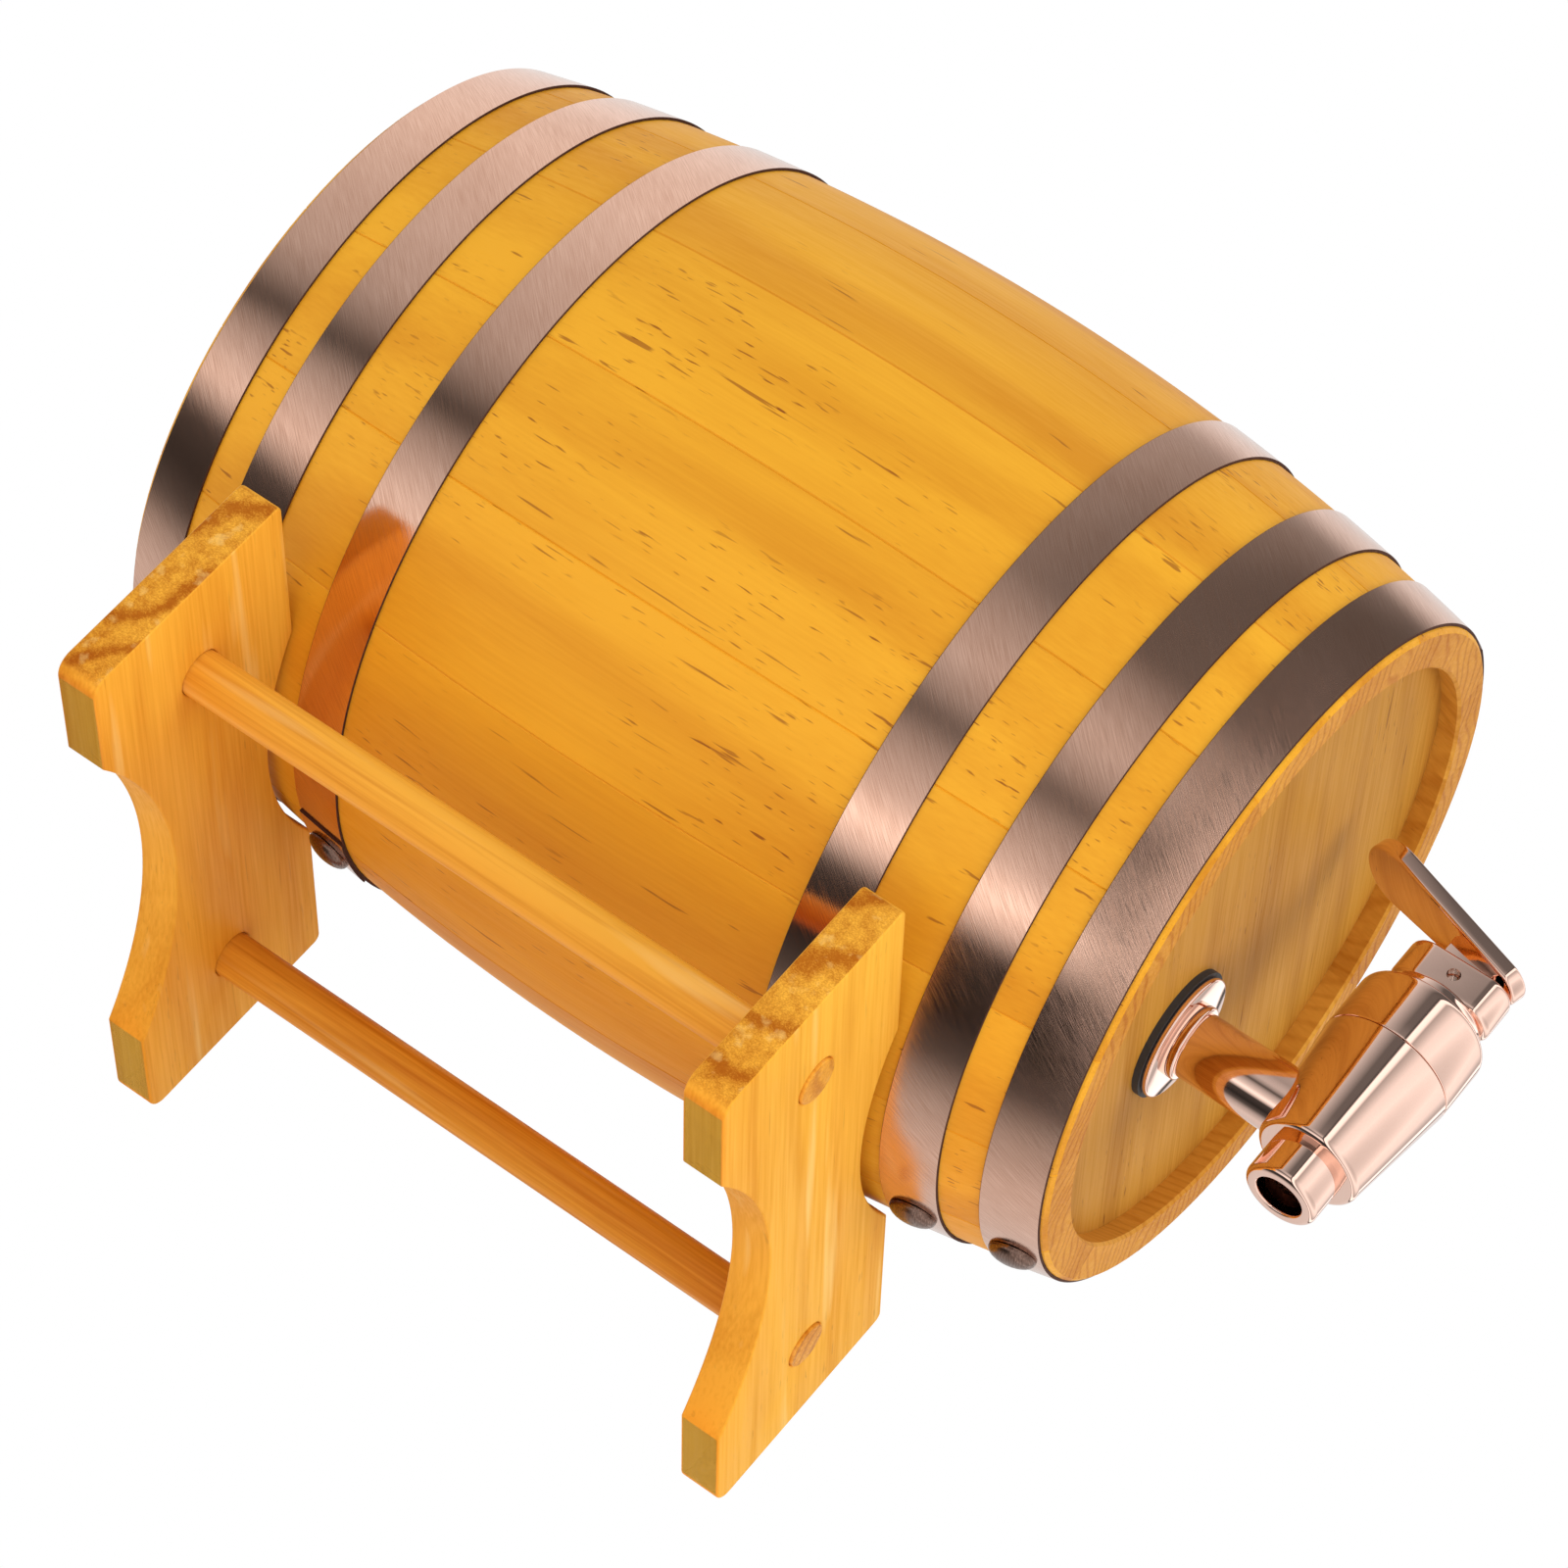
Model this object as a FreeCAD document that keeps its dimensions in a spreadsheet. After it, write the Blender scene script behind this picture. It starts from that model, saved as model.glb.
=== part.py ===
import FreeCAD, Part
import Sketcher
import math
import os
from FreeCAD import Placement, Rotation, Vector

# Small cask on a two-board stand, with a spring-closed tap in its front head.
# Millimetres, +Z up, the tap at -Y. The origin is at the bottom centre of the whole object's box.

DRIVING_SIZES = {
    # cask
    "cask_length": 238.0, "belly_radius": 91.1, "end_radius": 77.5, "stave_thick": 9.0, "stave_count": 16,
    "head_thick": 8.0, "head_recess": 5.5, "croze_depth": 3.0, "croze_play": 0.1,
    "hoop_width": 12.7, "hoop_thick": 0.6, "hoop_play": 0.05,
    "end_hoop_back": 7.5, "quarter_hoop_back": 29.35, "bilge_hoop_back": 59.0,
    "rivet_radius": 5.2, "rivet_height": 2.6,
    "bung_top_radius": 10.0, "bung_taper": 1.2, "bung_proud": 3.0, "bung_length": 15.0, "bung_play": 0.08,
    "bung_edge": 0.8,
    # stand
    "board_width": 158.8, "board_height": 56.2, "board_thick": 9.8, "board_back": 42.2,
    "cradle_width": 73.4, "cradle_depth": 10.5, "cradle_play": 0.3, "arch_width": 102.6, "arch_height": 16.0,
    "foot_round": 4.0, "shoulder_round": 2.0, "board_edge": 0.5,
    "dowel_radius": 5.2, "dowel_spread": 104.6, "dowel_height": 29.0, "dowel_proud": 0.6, "dowel_play": 0.05,
    # tap, heights from the middle of its shank
    "tap_drop": 26.0, "gasket_radius": 14.8, "gasket_thick": 1.5, "flange_radius": 14.0, "flange_thick": 1.6,
    "collar_radius": 8.5, "collar_length": 2.2, "shank_radius": 7.4, "shank_reach": 35.5, "shank_bore": 3.8,
    "tail_radius": 6.0, "tail_play": 0.1, "tail_spare": 2.0, "washer_radius": 13.0, "washer_thick": 1.5,
    "nut_radius": 11.5, "nut_thick": 6.0,
    "body_low_radius": 11.9, "body_high_radius": 14.9, "body_floor": 9.3, "seam_height": 18.6,
    "body_edge": 1.2, "seam_step": 0.25,
    "spout_radius": 8.4, "spout_bore": 5.4, "spout_reach": 18.9, "spout_edge": 1.2,
    "chamber_radius": 9.5, "chamber_floor": 6.0, "port_radius": 4.0,
    "cap_height": 33.5, "cap_edge": 2.6, "cap_neck_radius": 7.6, "cap_top": 37.5, "cap_spigot": 4.6,
    "cap_play": 0.05, "stem_play": 0.1,
    "bonnet_length": 24.0, "bonnet_width": 11.4, "bonnet_height": 9.8, "bonnet_end_round": 5.5,
    "bonnet_edge": 1.4, "mortise_length": 15.2, "mortise_play": 0.2,
    "pin_radius": 1.5, "pin_play": 0.05, "pin_rise": 5.2,
    "web_thick": 5.0, "web_length": 11.6, "web_round": 4.2, "paddle_rise": 13.4, "paddle_thick": 4.0,
    "paddle_tilt": 15.0, "paddle_tip_radius": 8.0, "paddle_tip_reach": 25.0, "paddle_heel_radius": 5.0,
    "paddle_heel_reach": 7.0, "paddle_edge": 0.8,
    "stem_radius": 2.4, "stem_gap": 0.3, "neck_radius": 1.0, "neck_play": 0.2, "valve_travel": 2.0,
    "valve_radius": 7.4, "valve_thick": 1.6,
    "seal_radius": 6.8, "seal_thick": 2.0, "spring_inner": 2.9, "spring_outer": 4.4,
}

# Where the domed rivets sit: hoop, side of the cask (-1 front, 1 rear), degrees from the top towards -X
RIVETS = (
    [("end", -1, turn) for turn in (12.7, -7.2, 196.0)]
    + [("quarter", -1, turn) for turn in (12.7, -7.2, 196.0)]
    + [("bilge", -1, turn) for turn in (12.7, -7.2, 196.0)]
    + [(hoop, 1, 196.0) for hoop in ("bilge", "quarter", "end")]
)

PLANE_ROLES = {"XY": "XY_Plane", "XZ": "XZ_Plane", "YZ": "YZ_Plane"}
# Numbers by which a sketch knows its origin, its axes and the points of a line or an arc
SKETCH_ORIGIN = (-1, 1)
ACROSS_AXIS, UP_AXIS = -1, -2
START, END, CENTRE = range(1, 4)

# A nut's corners, how far a cut runs past what it cuts as a share of it, and the least difference that counts
NUT_CORNER_COUNT = 6
OVERRUN_SHARE = 1.5
SAME_RATIO = 1e-4

doc = FreeCAD.newDocument("cask_dispenser")
sheet = doc.addObject("Spreadsheet::Sheet", "Sizes")


class Size:
    """A length that knows its value and the sheet formula that it comes from."""

    def __init__(self, value, text):
        self.value = value
        self.text = text

    def _join(self, other, sign, work):
        other = as_size(other)
        return Size(work(self.value, other.value), "({} {} {})".format(self.text, sign, other.text))

    def __add__(self, other):
        return self._join(other, "+", lambda a, b: a + b)

    def __sub__(self, other):
        return self._join(other, "-", lambda a, b: a - b)

    def __mul__(self, other):
        return self._join(other, "*", lambda a, b: a * b)

    def __truediv__(self, other):
        return self._join(other, "/", lambda a, b: a / b)

    def __neg__(self):
        return self * -1

    def root(self):
        return Size(math.sqrt(self.value), "sqrt({})".format(self.text))


def as_size(number):
    return number if isinstance(number, Size) else Size(float(number), repr(float(number)))


for row, (alias, number) in enumerate(DRIVING_SIZES.items(), start=1):
    sheet.set("A{}".format(row), alias)
    sheet.set("B{}".format(row), repr(number))
    sheet.setAlias("B{}".format(row), alias)
doc.recompute()
S = {alias: Size(float(sheet.get(alias)), "Sizes." + alias) for alias in DRIVING_SIZES}


# Derived places, all from the driving sizes

half_length = S["cask_length"] / 2
bulge = S["belly_radius"] - S["end_radius"]
stave_bend = (half_length * half_length + bulge * bulge) / (bulge * 2)
bend_centre_drop = stave_bend - S["belly_radius"]


def cask_radius(along, offset):
    """Radius of the surface that lies offset outside the staves' outer face, at a distance along the axis."""
    bend = stave_bend + offset
    return (bend * bend - along * along).root() - bend_centre_drop


head_outer = half_length - S["head_recess"]
head_inner = head_outer - S["head_thick"]
head_radius = cask_radius(head_outer, -S["stave_thick"]) + S["croze_depth"]
croze_radius = head_radius + S["croze_play"]

board_spacing = S["cask_length"] - S["board_back"] * 2
board_inner_face = (board_spacing - S["board_thick"]) / 2
seat_radius = cask_radius(board_inner_face, as_size(0)) + S["cradle_play"]
cradle_half = S["cradle_width"] / 2
axis_height = S["board_height"] + (seat_radius * seat_radius - cradle_half * cradle_half).root()

flange_back = S["gasket_thick"]
flange_front = flange_back + S["flange_thick"]
tap_reach = flange_front + S["shank_reach"]
cask_y = (tap_reach + S["body_high_radius"] - S["head_recess"]) / 2
head_face_y = cask_y - head_outer
tap_y = head_face_y - tap_reach
tap_z = axis_height - S["tap_drop"]
pin_height = S["cap_top"] + S["pin_rise"]
valve_top = -S["chamber_floor"] + S["seal_thick"] + S["valve_thick"]
spring_top = S["seam_height"] - S["cap_spigot"]


# Sketch and feature helpers

def bind(thing, prop, size):
    thing.setExpression(prop, as_size(size).text)


def new_body(label):
    body = doc.addObject("PartDesign::Body", label)
    body.Label = label
    return body


def origin_feature(body, role):
    return [feature for feature in body.Origin.OriginFeatures if feature.Role == role][0]


def new_sketch(body, plane, lift=None, tilt=0.0):
    """A sketch on one of the body's own planes, lifted off it by a size and tilted about its across axis."""
    sketch = body.newObject("Sketcher::SketchObject", body.Label + "_sketch")
    sketch.AttachmentSupport = [(origin_feature(body, PLANE_ROLES[plane]), "")]
    sketch.MapMode = "FlatFace"
    if lift is not None:
        sketch.AttachmentOffset = Placement(Vector(0, 0, lift.value), Rotation(Vector(1, 0, 0), tilt))
        bind(sketch, "AttachmentOffset.Base.z", lift)
    return sketch


def fix_point(sketch, geometry, point, across, up):
    """Ties one point of a sketch to its place: a Size is bound to the sheet, and 0 puts it on the axis."""
    for kind, axis, size in (("DistanceX", UP_AXIS, across), ("DistanceY", ACROSS_AXIS, up)):
        if isinstance(size, Size):
            rule = Sketcher.Constraint(kind, *SKETCH_ORIGIN, geometry, point, size.value)
            index = sketch.addConstraint(rule)
            sketch.setExpression("Constraints[{}]".format(index), size.text)
        else:
            sketch.addConstraint(Sketcher.Constraint("PointOnObject", geometry, point, axis))


def fix_radius(sketch, geometry, size):
    index = sketch.addConstraint(Sketcher.Constraint("Radius", geometry, size.value))
    sketch.setExpression("Constraints[{}]".format(index), size.text)


def add_circle(sketch, across, up, radius):
    centre = Vector(as_size(across).value, as_size(up).value, 0)
    index = sketch.addGeometry(Part.Circle(centre, Vector(0, 0, 1), radius.value), False)
    fix_point(sketch, index, CENTRE, across, up)
    fix_radius(sketch, index, radius)


def arc_between(first, last, radius, turn):
    """The arc of a given radius between two points; turn is +1 to the left of the way there, -1 to the right."""
    half = (last - first) / 2
    reach = math.sqrt(max(radius * radius - half.Length * half.Length, 0.0))
    side = Vector(-half.y, half.x, 0).normalize() * turn
    centre = first + half + side * reach
    start, end = (first, last) if turn > 0 else (last, first)
    circle = Part.Circle(centre, Vector(0, 0, 1), radius)
    return Part.ArcOfCircle(circle, circle.parameter(start), circle.parameter(end))


def add_outline(sketch, corners):
    """A closed outline. A corner is (across, up) with a straight line to the next one, or (across, up,
    radius, turn) with an arc to it."""
    points = [Vector(as_size(corner[0]).value, as_size(corner[1]).value, 0) for corner in corners]
    ends = []
    for number, corner in enumerate(corners):
        first = points[number]
        last = points[(number + 1) % len(corners)]
        if len(corner) == 2:
            index = sketch.addGeometry(Part.LineSegment(first, last), False)
            ends.append((index, START, END))
        else:
            radius, turn = corner[2], corner[3]
            index = sketch.addGeometry(arc_between(first, last, radius.value, turn), False)
            ends.append((index, START, END) if turn > 0 else (index, END, START))
    for number, corner in enumerate(corners):
        index, start, _ = ends[number]
        before, _, end = ends[number - 1]
        sketch.addConstraint(Sketcher.Constraint("Coincident", before, end, index, start))
        fix_point(sketch, index, start, corner[0], corner[1])
    for number, corner in enumerate(corners):
        if len(corner) == 4:
            fix_radius(sketch, ends[number][0], corner[2])


def feature(body, kind, sketch):
    made = body.newObject("PartDesign::" + kind, body.Label + "_" + kind.lower())
    made.Profile = sketch
    sketch.Visibility = False
    body.Tip = made
    return made


def pad(body, sketch, length, symmetric=False):
    made = feature(body, "Pad", sketch)
    bind(made, "Length", length)
    if symmetric:
        made.SideType = "Symmetric"
    return made


def pocket_through(body, sketch):
    made = feature(body, "Pocket", sketch)
    made.Type = "ThroughAll"
    made.SideType = "Symmetric"
    return made


def turn_about(body, sketch, role, kind="Revolution", share=None):
    """A turned shape, or with share only that part of a full turn, centred on the sketch."""
    made = feature(body, kind, sketch)
    made.ReferenceAxis = (origin_feature(body, role), [""])
    if share is not None:
        made.Midplane = True
        made.setExpression("Angle", share.text)
    return made


def soften(body, radius, wanted, kind="Fillet"):
    """Rounds or bevels the edges of the body's last feature that the wanted test picks."""
    doc.recompute()
    base = body.Tip
    names = ["Edge{}".format(number) for number, edge in enumerate(base.Shape.Edges, start=1) if wanted(edge)]
    made = body.newObject("PartDesign::" + kind, body.Label + "_" + kind.lower())
    made.Base = (base, names)
    bind(made, "Radius" if kind == "Fillet" else "Size", radius)
    body.Tip = made


def place(thing, x=0, y=0, z=0, rotation=Rotation()):
    thing.Placement = Placement(Vector(0, 0, 0), rotation)
    for letter, size in (("x", x), ("y", y), ("z", z)):
        if isinstance(size, Size):
            bind(thing, ".Placement.Base." + letter, size)
    parts.append(thing)


def is_circle_at(radius, height):
    """Test for a full level round edge of one radius at one height."""
    def wanted(edge):
        closed_circle = isinstance(edge.Curve, Part.Circle) and edge.isClosed()
        return (closed_circle and abs(edge.Curve.Radius - radius.value) < SAME_RATIO
                and abs(edge.CenterOfMass.z - height.value) < SAME_RATIO)
    return wanted


# Stand

def board_corners():
    """The end board's outline, seen from the front, with its arch below and its cradle above."""
    half = S["board_width"] / 2
    top = S["board_height"]
    foot = S["foot_round"]
    shoulder = S["shoulder_round"]
    arch = S["arch_width"] / 2
    arch_bend = (arch * arch + S["arch_height"] * S["arch_height"]) / (S["arch_height"] * 2)
    depth = S["cradle_depth"]
    cradle_bend = (cradle_half * cradle_half + depth * depth) / (depth * 2)
    return [
        (-half + foot, 0), (-arch, 0, arch_bend, -1), (arch, 0), (half - foot, 0, foot, 1),
        (half, foot), (half, top - shoulder, shoulder, 1), (half - shoulder, top),
        (cradle_half, top, cradle_bend, -1), (-cradle_half, top), (-half + shoulder, top, shoulder, 1),
        (-half, top - shoulder), (-half, foot, foot, 1),
    ]


def make_board(label, side):
    body = new_body(label)
    sketch = new_sketch(body, "XZ")
    add_outline(sketch, board_corners())
    for hand in (-1, 1):
        across = S["dowel_spread"] * (hand / 2)
        add_circle(sketch, across, S["dowel_height"], S["dowel_radius"] + S["dowel_play"])
    pad(body, sketch, S["board_thick"], symmetric=True)
    half_thick = S["board_thick"].value / 2
    hole_radius = S["dowel_radius"].value + S["dowel_play"].value

    def on_face_edge(edge):
        flat = all(abs(abs(vertex.Y) - half_thick) < SAME_RATIO for vertex in edge.Vertexes)
        along = edge.Vertexes[0].Y == edge.Vertexes[-1].Y
        hole = isinstance(edge.Curve, Part.Circle) and abs(edge.Curve.Radius - hole_radius) < SAME_RATIO
        return flat and along and not hole

    soften(body, S["board_edge"], on_face_edge, kind="Chamfer")
    place(body, y=cask_y + board_spacing * (side / 2))


def make_dowel(label, hand):
    body = new_body(label)
    sketch = new_sketch(body, "XZ")
    add_circle(sketch, 0, 0, S["dowel_radius"])
    length = board_spacing + S["board_thick"] + S["dowel_proud"] * 2
    pad(body, sketch, length, symmetric=True)
    place(body, x=S["dowel_spread"] * (hand / 2), y=cask_y, z=S["dowel_height"])


# Cask

def stave_corners():
    """Section of a stave: outer bend, inner bend, and the groove near each end that holds the head."""
    inner_bend = stave_bend - S["stave_thick"]
    outer = stave_bend
    inside = -S["stave_thick"]
    right = [
        (half_length, cask_radius(half_length, inside), inner_bend, 1),
        (head_outer, cask_radius(head_outer, inside)),
        (head_outer, croze_radius),
        (head_inner, croze_radius),
        (head_inner, cask_radius(head_inner, inside), inner_bend, 1),
    ]
    left = [
        (-head_inner, cask_radius(head_inner, inside)),
        (-head_inner, croze_radius),
        (-head_outer, croze_radius),
        (-head_outer, cask_radius(head_outer, inside), inner_bend, 1),
        (-half_length, cask_radius(half_length, inside)),
    ]
    return [(-half_length, S["end_radius"], outer, -1), (half_length, S["end_radius"])] + right + left


def bung_radius(height):
    """The bung's radius at a height above the staves' outer face at the belly."""
    return S["bung_top_radius"] + height * S["bung_taper"] / S["bung_length"]


def cut_bung_hole(body):
    """The tapered filling hole, a running clearance wider than the bung."""
    low = -S["stave_thick"] * OVERRUN_SHARE
    high = S["stave_thick"]
    sketch = new_sketch(body, "YZ")
    add_outline(sketch, [
        (0, S["belly_radius"] + low),
        (bung_radius(low) + S["bung_play"], S["belly_radius"] + low),
        (bung_radius(high) + S["bung_play"], S["belly_radius"] + high),
        (0, S["belly_radius"] + high),
    ])
    turn_about(body, sketch, "Z_Axis", kind="Groove")


def make_stave(number):
    body = new_body("stave_{:02d}".format(number + 1))
    sketch = new_sketch(body, "YZ")
    add_outline(sketch, stave_corners())
    turn_about(body, sketch, "Y_Axis", share=as_size(360) / S["stave_count"])
    if number == 0:
        cut_bung_hole(body)
    turn = 360.0 / S["stave_count"].value * number
    place(body, y=cask_y, z=axis_height, rotation=Rotation(Vector(0, 1, 0), turn))
    body.setExpression(".Placement.Rotation.Angle", "{} * 360 / Sizes.stave_count".format(number))


def make_head(label, side):
    body = new_body(label)
    sketch = new_sketch(body, "XZ")
    add_circle(sketch, 0, 0, head_radius)
    if side < 0:
        add_circle(sketch, 0, -S["tap_drop"], S["tail_radius"] + S["tail_play"])
    pad(body, sketch, S["head_thick"], symmetric=True)
    place(body, y=cask_y + (head_outer + head_inner) * (side / 2), z=axis_height)


def hoop_middle(name):
    """How far a hoop's middle lies from the cask's middle; the sheet gives it from the cask's end."""
    return half_length - S[name + "_hoop_back"]


def make_hoop(label, name, side):
    """A flat band bent to the staves' curve, from its narrow edge to its wide edge."""
    body = new_body(label)
    low = hoop_middle(name) - S["hoop_width"] / 2
    high = hoop_middle(name) + S["hoop_width"] / 2
    play = S["hoop_play"]
    out = play + S["hoop_thick"]
    if side < 0:
        low, high = -high, -low
    sketch = new_sketch(body, "YZ")
    add_outline(sketch, [
        (low, cask_radius(low, play)),
        (low, cask_radius(low, out), stave_bend + out, -1),
        (high, cask_radius(high, out)),
        (high, cask_radius(high, play), stave_bend + play, 1),
    ])
    turn_about(body, sketch, "Y_Axis")
    place(body, y=cask_y, z=axis_height)


def make_rivets():
    """One domed head on each hoop joint, its flat back square to the band under it."""
    radius = S["rivet_radius"].value
    height = S["rivet_height"].value
    dome_radius = (radius * radius + height * height) / (2 * height)
    out = S["hoop_play"] + S["hoop_thick"]
    domes = []
    for name, side, turn in RIVETS:
        along = hoop_middle(name)
        slope = math.degrees(math.asin(along.value / (stave_bend + out).value))
        ball = Part.makeSphere(dome_radius, Vector(0, 0, height - dome_radius))
        above = Part.makeCylinder(radius * 2, dome_radius * 2)
        dome = ball.common(above)
        lean = Placement(Vector(0, 0, 0), Rotation(Vector(1, 0, 0), -side * slope))
        seat = Placement(Vector(0, side * along.value, cask_radius(along, out).value), Rotation())
        roll = Placement(Vector(0, 0, 0), Rotation(Vector(0, 1, 0), -turn))
        dome.Placement = roll.multiply(seat).multiply(lean)
        domes.append(dome)
    rivets = doc.addObject("Part::Feature", "hoop_rivets")
    rivets.Label = "hoop_rivets"
    rivets.Shape = Part.makeCompound(domes)
    place(rivets, y=cask_y, z=axis_height)


def make_bung():
    body = new_body("bung")
    low = S["bung_proud"] - S["bung_length"]
    sketch = new_sketch(body, "YZ")
    edge = S["bung_edge"]
    add_outline(sketch, [
        (0, low), (bung_radius(low), low), (bung_radius(S["bung_proud"]), S["bung_proud"] - edge),
        (bung_radius(S["bung_proud"]) - edge, S["bung_proud"]), (0, S["bung_proud"]),
    ])
    turn_about(body, sketch, "Z_Axis")
    place(body, y=cask_y, z=axis_height + S["belly_radius"])


# Tap

def make_ring(label, outer, inner, thick, back_y):
    """A flat ring round the tap's shank, back_y being the face nearer the cask's rear."""
    body = new_body(label)
    sketch = new_sketch(body, "XZ")
    add_circle(sketch, 0, 0, outer)
    add_circle(sketch, 0, 0, inner)
    pad(body, sketch, thick)
    place(body, y=back_y, z=tap_z)


def make_nut():
    body = new_body("shank_nut")
    sketch = new_sketch(body, "XZ")
    corners = []
    for number in range(NUT_CORNER_COUNT):
        angle = 2 * math.pi * (number + 0.5) / NUT_CORNER_COUNT
        corners.append((S["nut_radius"] * math.cos(angle), S["nut_radius"] * math.sin(angle)))
    add_outline(sketch, corners)
    add_circle(sketch, 0, 0, S["tail_radius"] + S["cap_play"])
    pad(body, sketch, S["nut_thick"])
    place(body, y=head_face_y + S["head_thick"] + S["washer_thick"] + S["nut_thick"], z=tap_z)


def make_tap_spout():
    """The short round tube under the body, where the drink runs out."""
    body = new_body("tap_spout")
    mouth = -S["spout_reach"]
    sketch = new_sketch(body, "YZ")
    add_outline(sketch, [
        (S["spout_bore"], mouth), (S["spout_radius"], mouth), (S["spout_radius"], -S["body_floor"]),
        (S["spout_bore"], -S["body_floor"]),
    ])
    turn_about(body, sketch, "Z_Axis")
    soften(body, S["spout_edge"], is_circle_at(S["spout_radius"], mouth))
    place(body, y=tap_y, z=tap_z)


def make_tap_body():
    """Tapered body with its chamber, and the flanged shank with its threaded tail."""
    body = new_body("tap_body")
    seam = S["seam_height"]
    floor = -S["body_floor"]
    edge = S["body_edge"]
    shell = new_sketch(body, "YZ")
    add_outline(shell, [
        (0, floor), (S["body_low_radius"] - edge, floor, edge, 1), (S["body_low_radius"], floor + edge),
        (S["body_high_radius"], seam), (0, seam),
    ])
    turn_about(body, shell, "Z_Axis")
    tail_end = tap_reach + S["head_thick"] + S["washer_thick"] + S["nut_thick"] + S["tail_spare"]
    front = S["shank_reach"]
    back = front + S["flange_thick"]
    collar = front - S["collar_length"]
    shank = new_sketch(body, "YZ")
    add_outline(shank, [
        (0, 0), (tail_end, 0), (tail_end, S["tail_radius"]), (back, S["tail_radius"]),
        (back, S["flange_radius"]), (front, S["flange_radius"]), (front, S["collar_radius"]),
        (collar, S["collar_radius"]), (collar, S["shank_radius"]), (0, S["shank_radius"]),
    ])
    turn_about(body, shank, "Y_Axis")
    chamber = new_sketch(body, "YZ")
    chamber_floor = -S["chamber_floor"]
    add_outline(chamber, [
        (0, floor * OVERRUN_SHARE), (S["port_radius"], floor * OVERRUN_SHARE), (S["port_radius"], chamber_floor),
        (S["chamber_radius"], chamber_floor), (S["chamber_radius"], seam * OVERRUN_SHARE),
        (0, seam * OVERRUN_SHARE),
    ])
    turn_about(body, chamber, "Z_Axis", kind="Groove")
    way_in = new_sketch(body, "YZ")
    add_outline(way_in, [
        (0, 0), (tail_end * OVERRUN_SHARE, 0), (tail_end * OVERRUN_SHARE, S["shank_bore"]), (0, S["shank_bore"]),
    ])
    turn_about(body, way_in, "Y_Axis", kind="Groove")
    place(body, y=tap_y, z=tap_z)


def make_tap_cap():
    """The upper shell, with a spigot that goes into the body and a bore for the valve stem."""
    body = new_body("tap_cap")
    seam = S["seam_height"]
    wall = S["body_high_radius"]
    edge = S["cap_edge"]
    top = S["cap_height"]
    bore = S["stem_radius"] + S["stem_play"]
    spigot = S["chamber_radius"] - S["cap_play"]
    shoulder = wall - edge
    dome_bend = S["body_high_radius"]
    sketch = new_sketch(body, "YZ")
    add_outline(sketch, [
        (bore, spring_top), (spigot, spring_top), (spigot, seam), (wall - S["seam_step"], seam),
        (wall, seam + S["seam_step"]), (wall, top - edge, edge, 1), (shoulder, top, dome_bend, 1),
        (S["cap_neck_radius"], S["cap_top"]), (bore, S["cap_top"]),
    ])
    turn_about(body, sketch, "Z_Axis")
    place(body, y=tap_y, z=tap_z)


def make_bonnet():
    """The rounded block on the cap, with the slot for the lever's web and the pin's hole across it."""
    body = new_body("tap_bonnet")
    half_x = S["bonnet_width"] / 2
    half_y = S["bonnet_length"] / 2
    bend = S["bonnet_end_round"]
    sketch = new_sketch(body, "XY", lift=S["cap_top"])
    add_outline(sketch, [
        (-half_x, -half_y + bend, bend, 1), (-half_x + bend, -half_y), (half_x - bend, -half_y, bend, 1),
        (half_x, -half_y + bend), (half_x, half_y - bend, bend, 1), (half_x - bend, half_y),
        (-half_x + bend, half_y, bend, 1), (-half_x, half_y - bend),
    ])
    pad(body, sketch, S["bonnet_height"])
    low = S["cap_top"].value
    high = low + S["bonnet_height"].value
    soften(body, S["bonnet_edge"], lambda edge: edge.BoundBox.ZLength < SAME_RATIO
           and min(abs(edge.CenterOfMass.z - low), abs(edge.CenterOfMass.z - high)) < SAME_RATIO)
    slot = new_sketch(body, "XY", lift=S["cap_top"])
    slot_x = S["web_thick"] / 2 + S["mortise_play"]
    slot_y = S["mortise_length"] / 2
    add_outline(slot, [(-slot_x, -slot_y), (slot_x, -slot_y), (slot_x, slot_y), (-slot_x, slot_y)])
    pocket_through(body, slot)
    hole = new_sketch(body, "YZ")
    add_circle(hole, 0, pin_height, S["pin_radius"] + S["pin_play"])
    pocket_through(body, hole)
    place(body, y=tap_y, z=tap_z)


def tangent_corners(tip_radius, tip_reach, heel_radius, heel_reach):
    """A round-ended outline whose straight sides touch a wide tip circle and a narrow heel circle."""
    span = tip_reach + heel_reach
    lean = (tip_radius - heel_radius) / span
    run = (as_size(1) - lean * lean).root()
    tip_side = tip_radius * run
    tip_along = tip_reach - tip_radius * lean
    heel_side = heel_radius * run
    heel_along = -heel_reach - heel_radius * lean
    tip_end = tip_reach + tip_radius
    heel_end = -heel_reach - heel_radius
    return [
        (tip_side, tip_along, tip_radius, 1), (0, tip_end, tip_radius, 1),
        (-tip_side, tip_along), (-heel_side, heel_along, heel_radius, 1),
        (0, heel_end, heel_radius, 1), (heel_side, heel_along),
    ]


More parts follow.
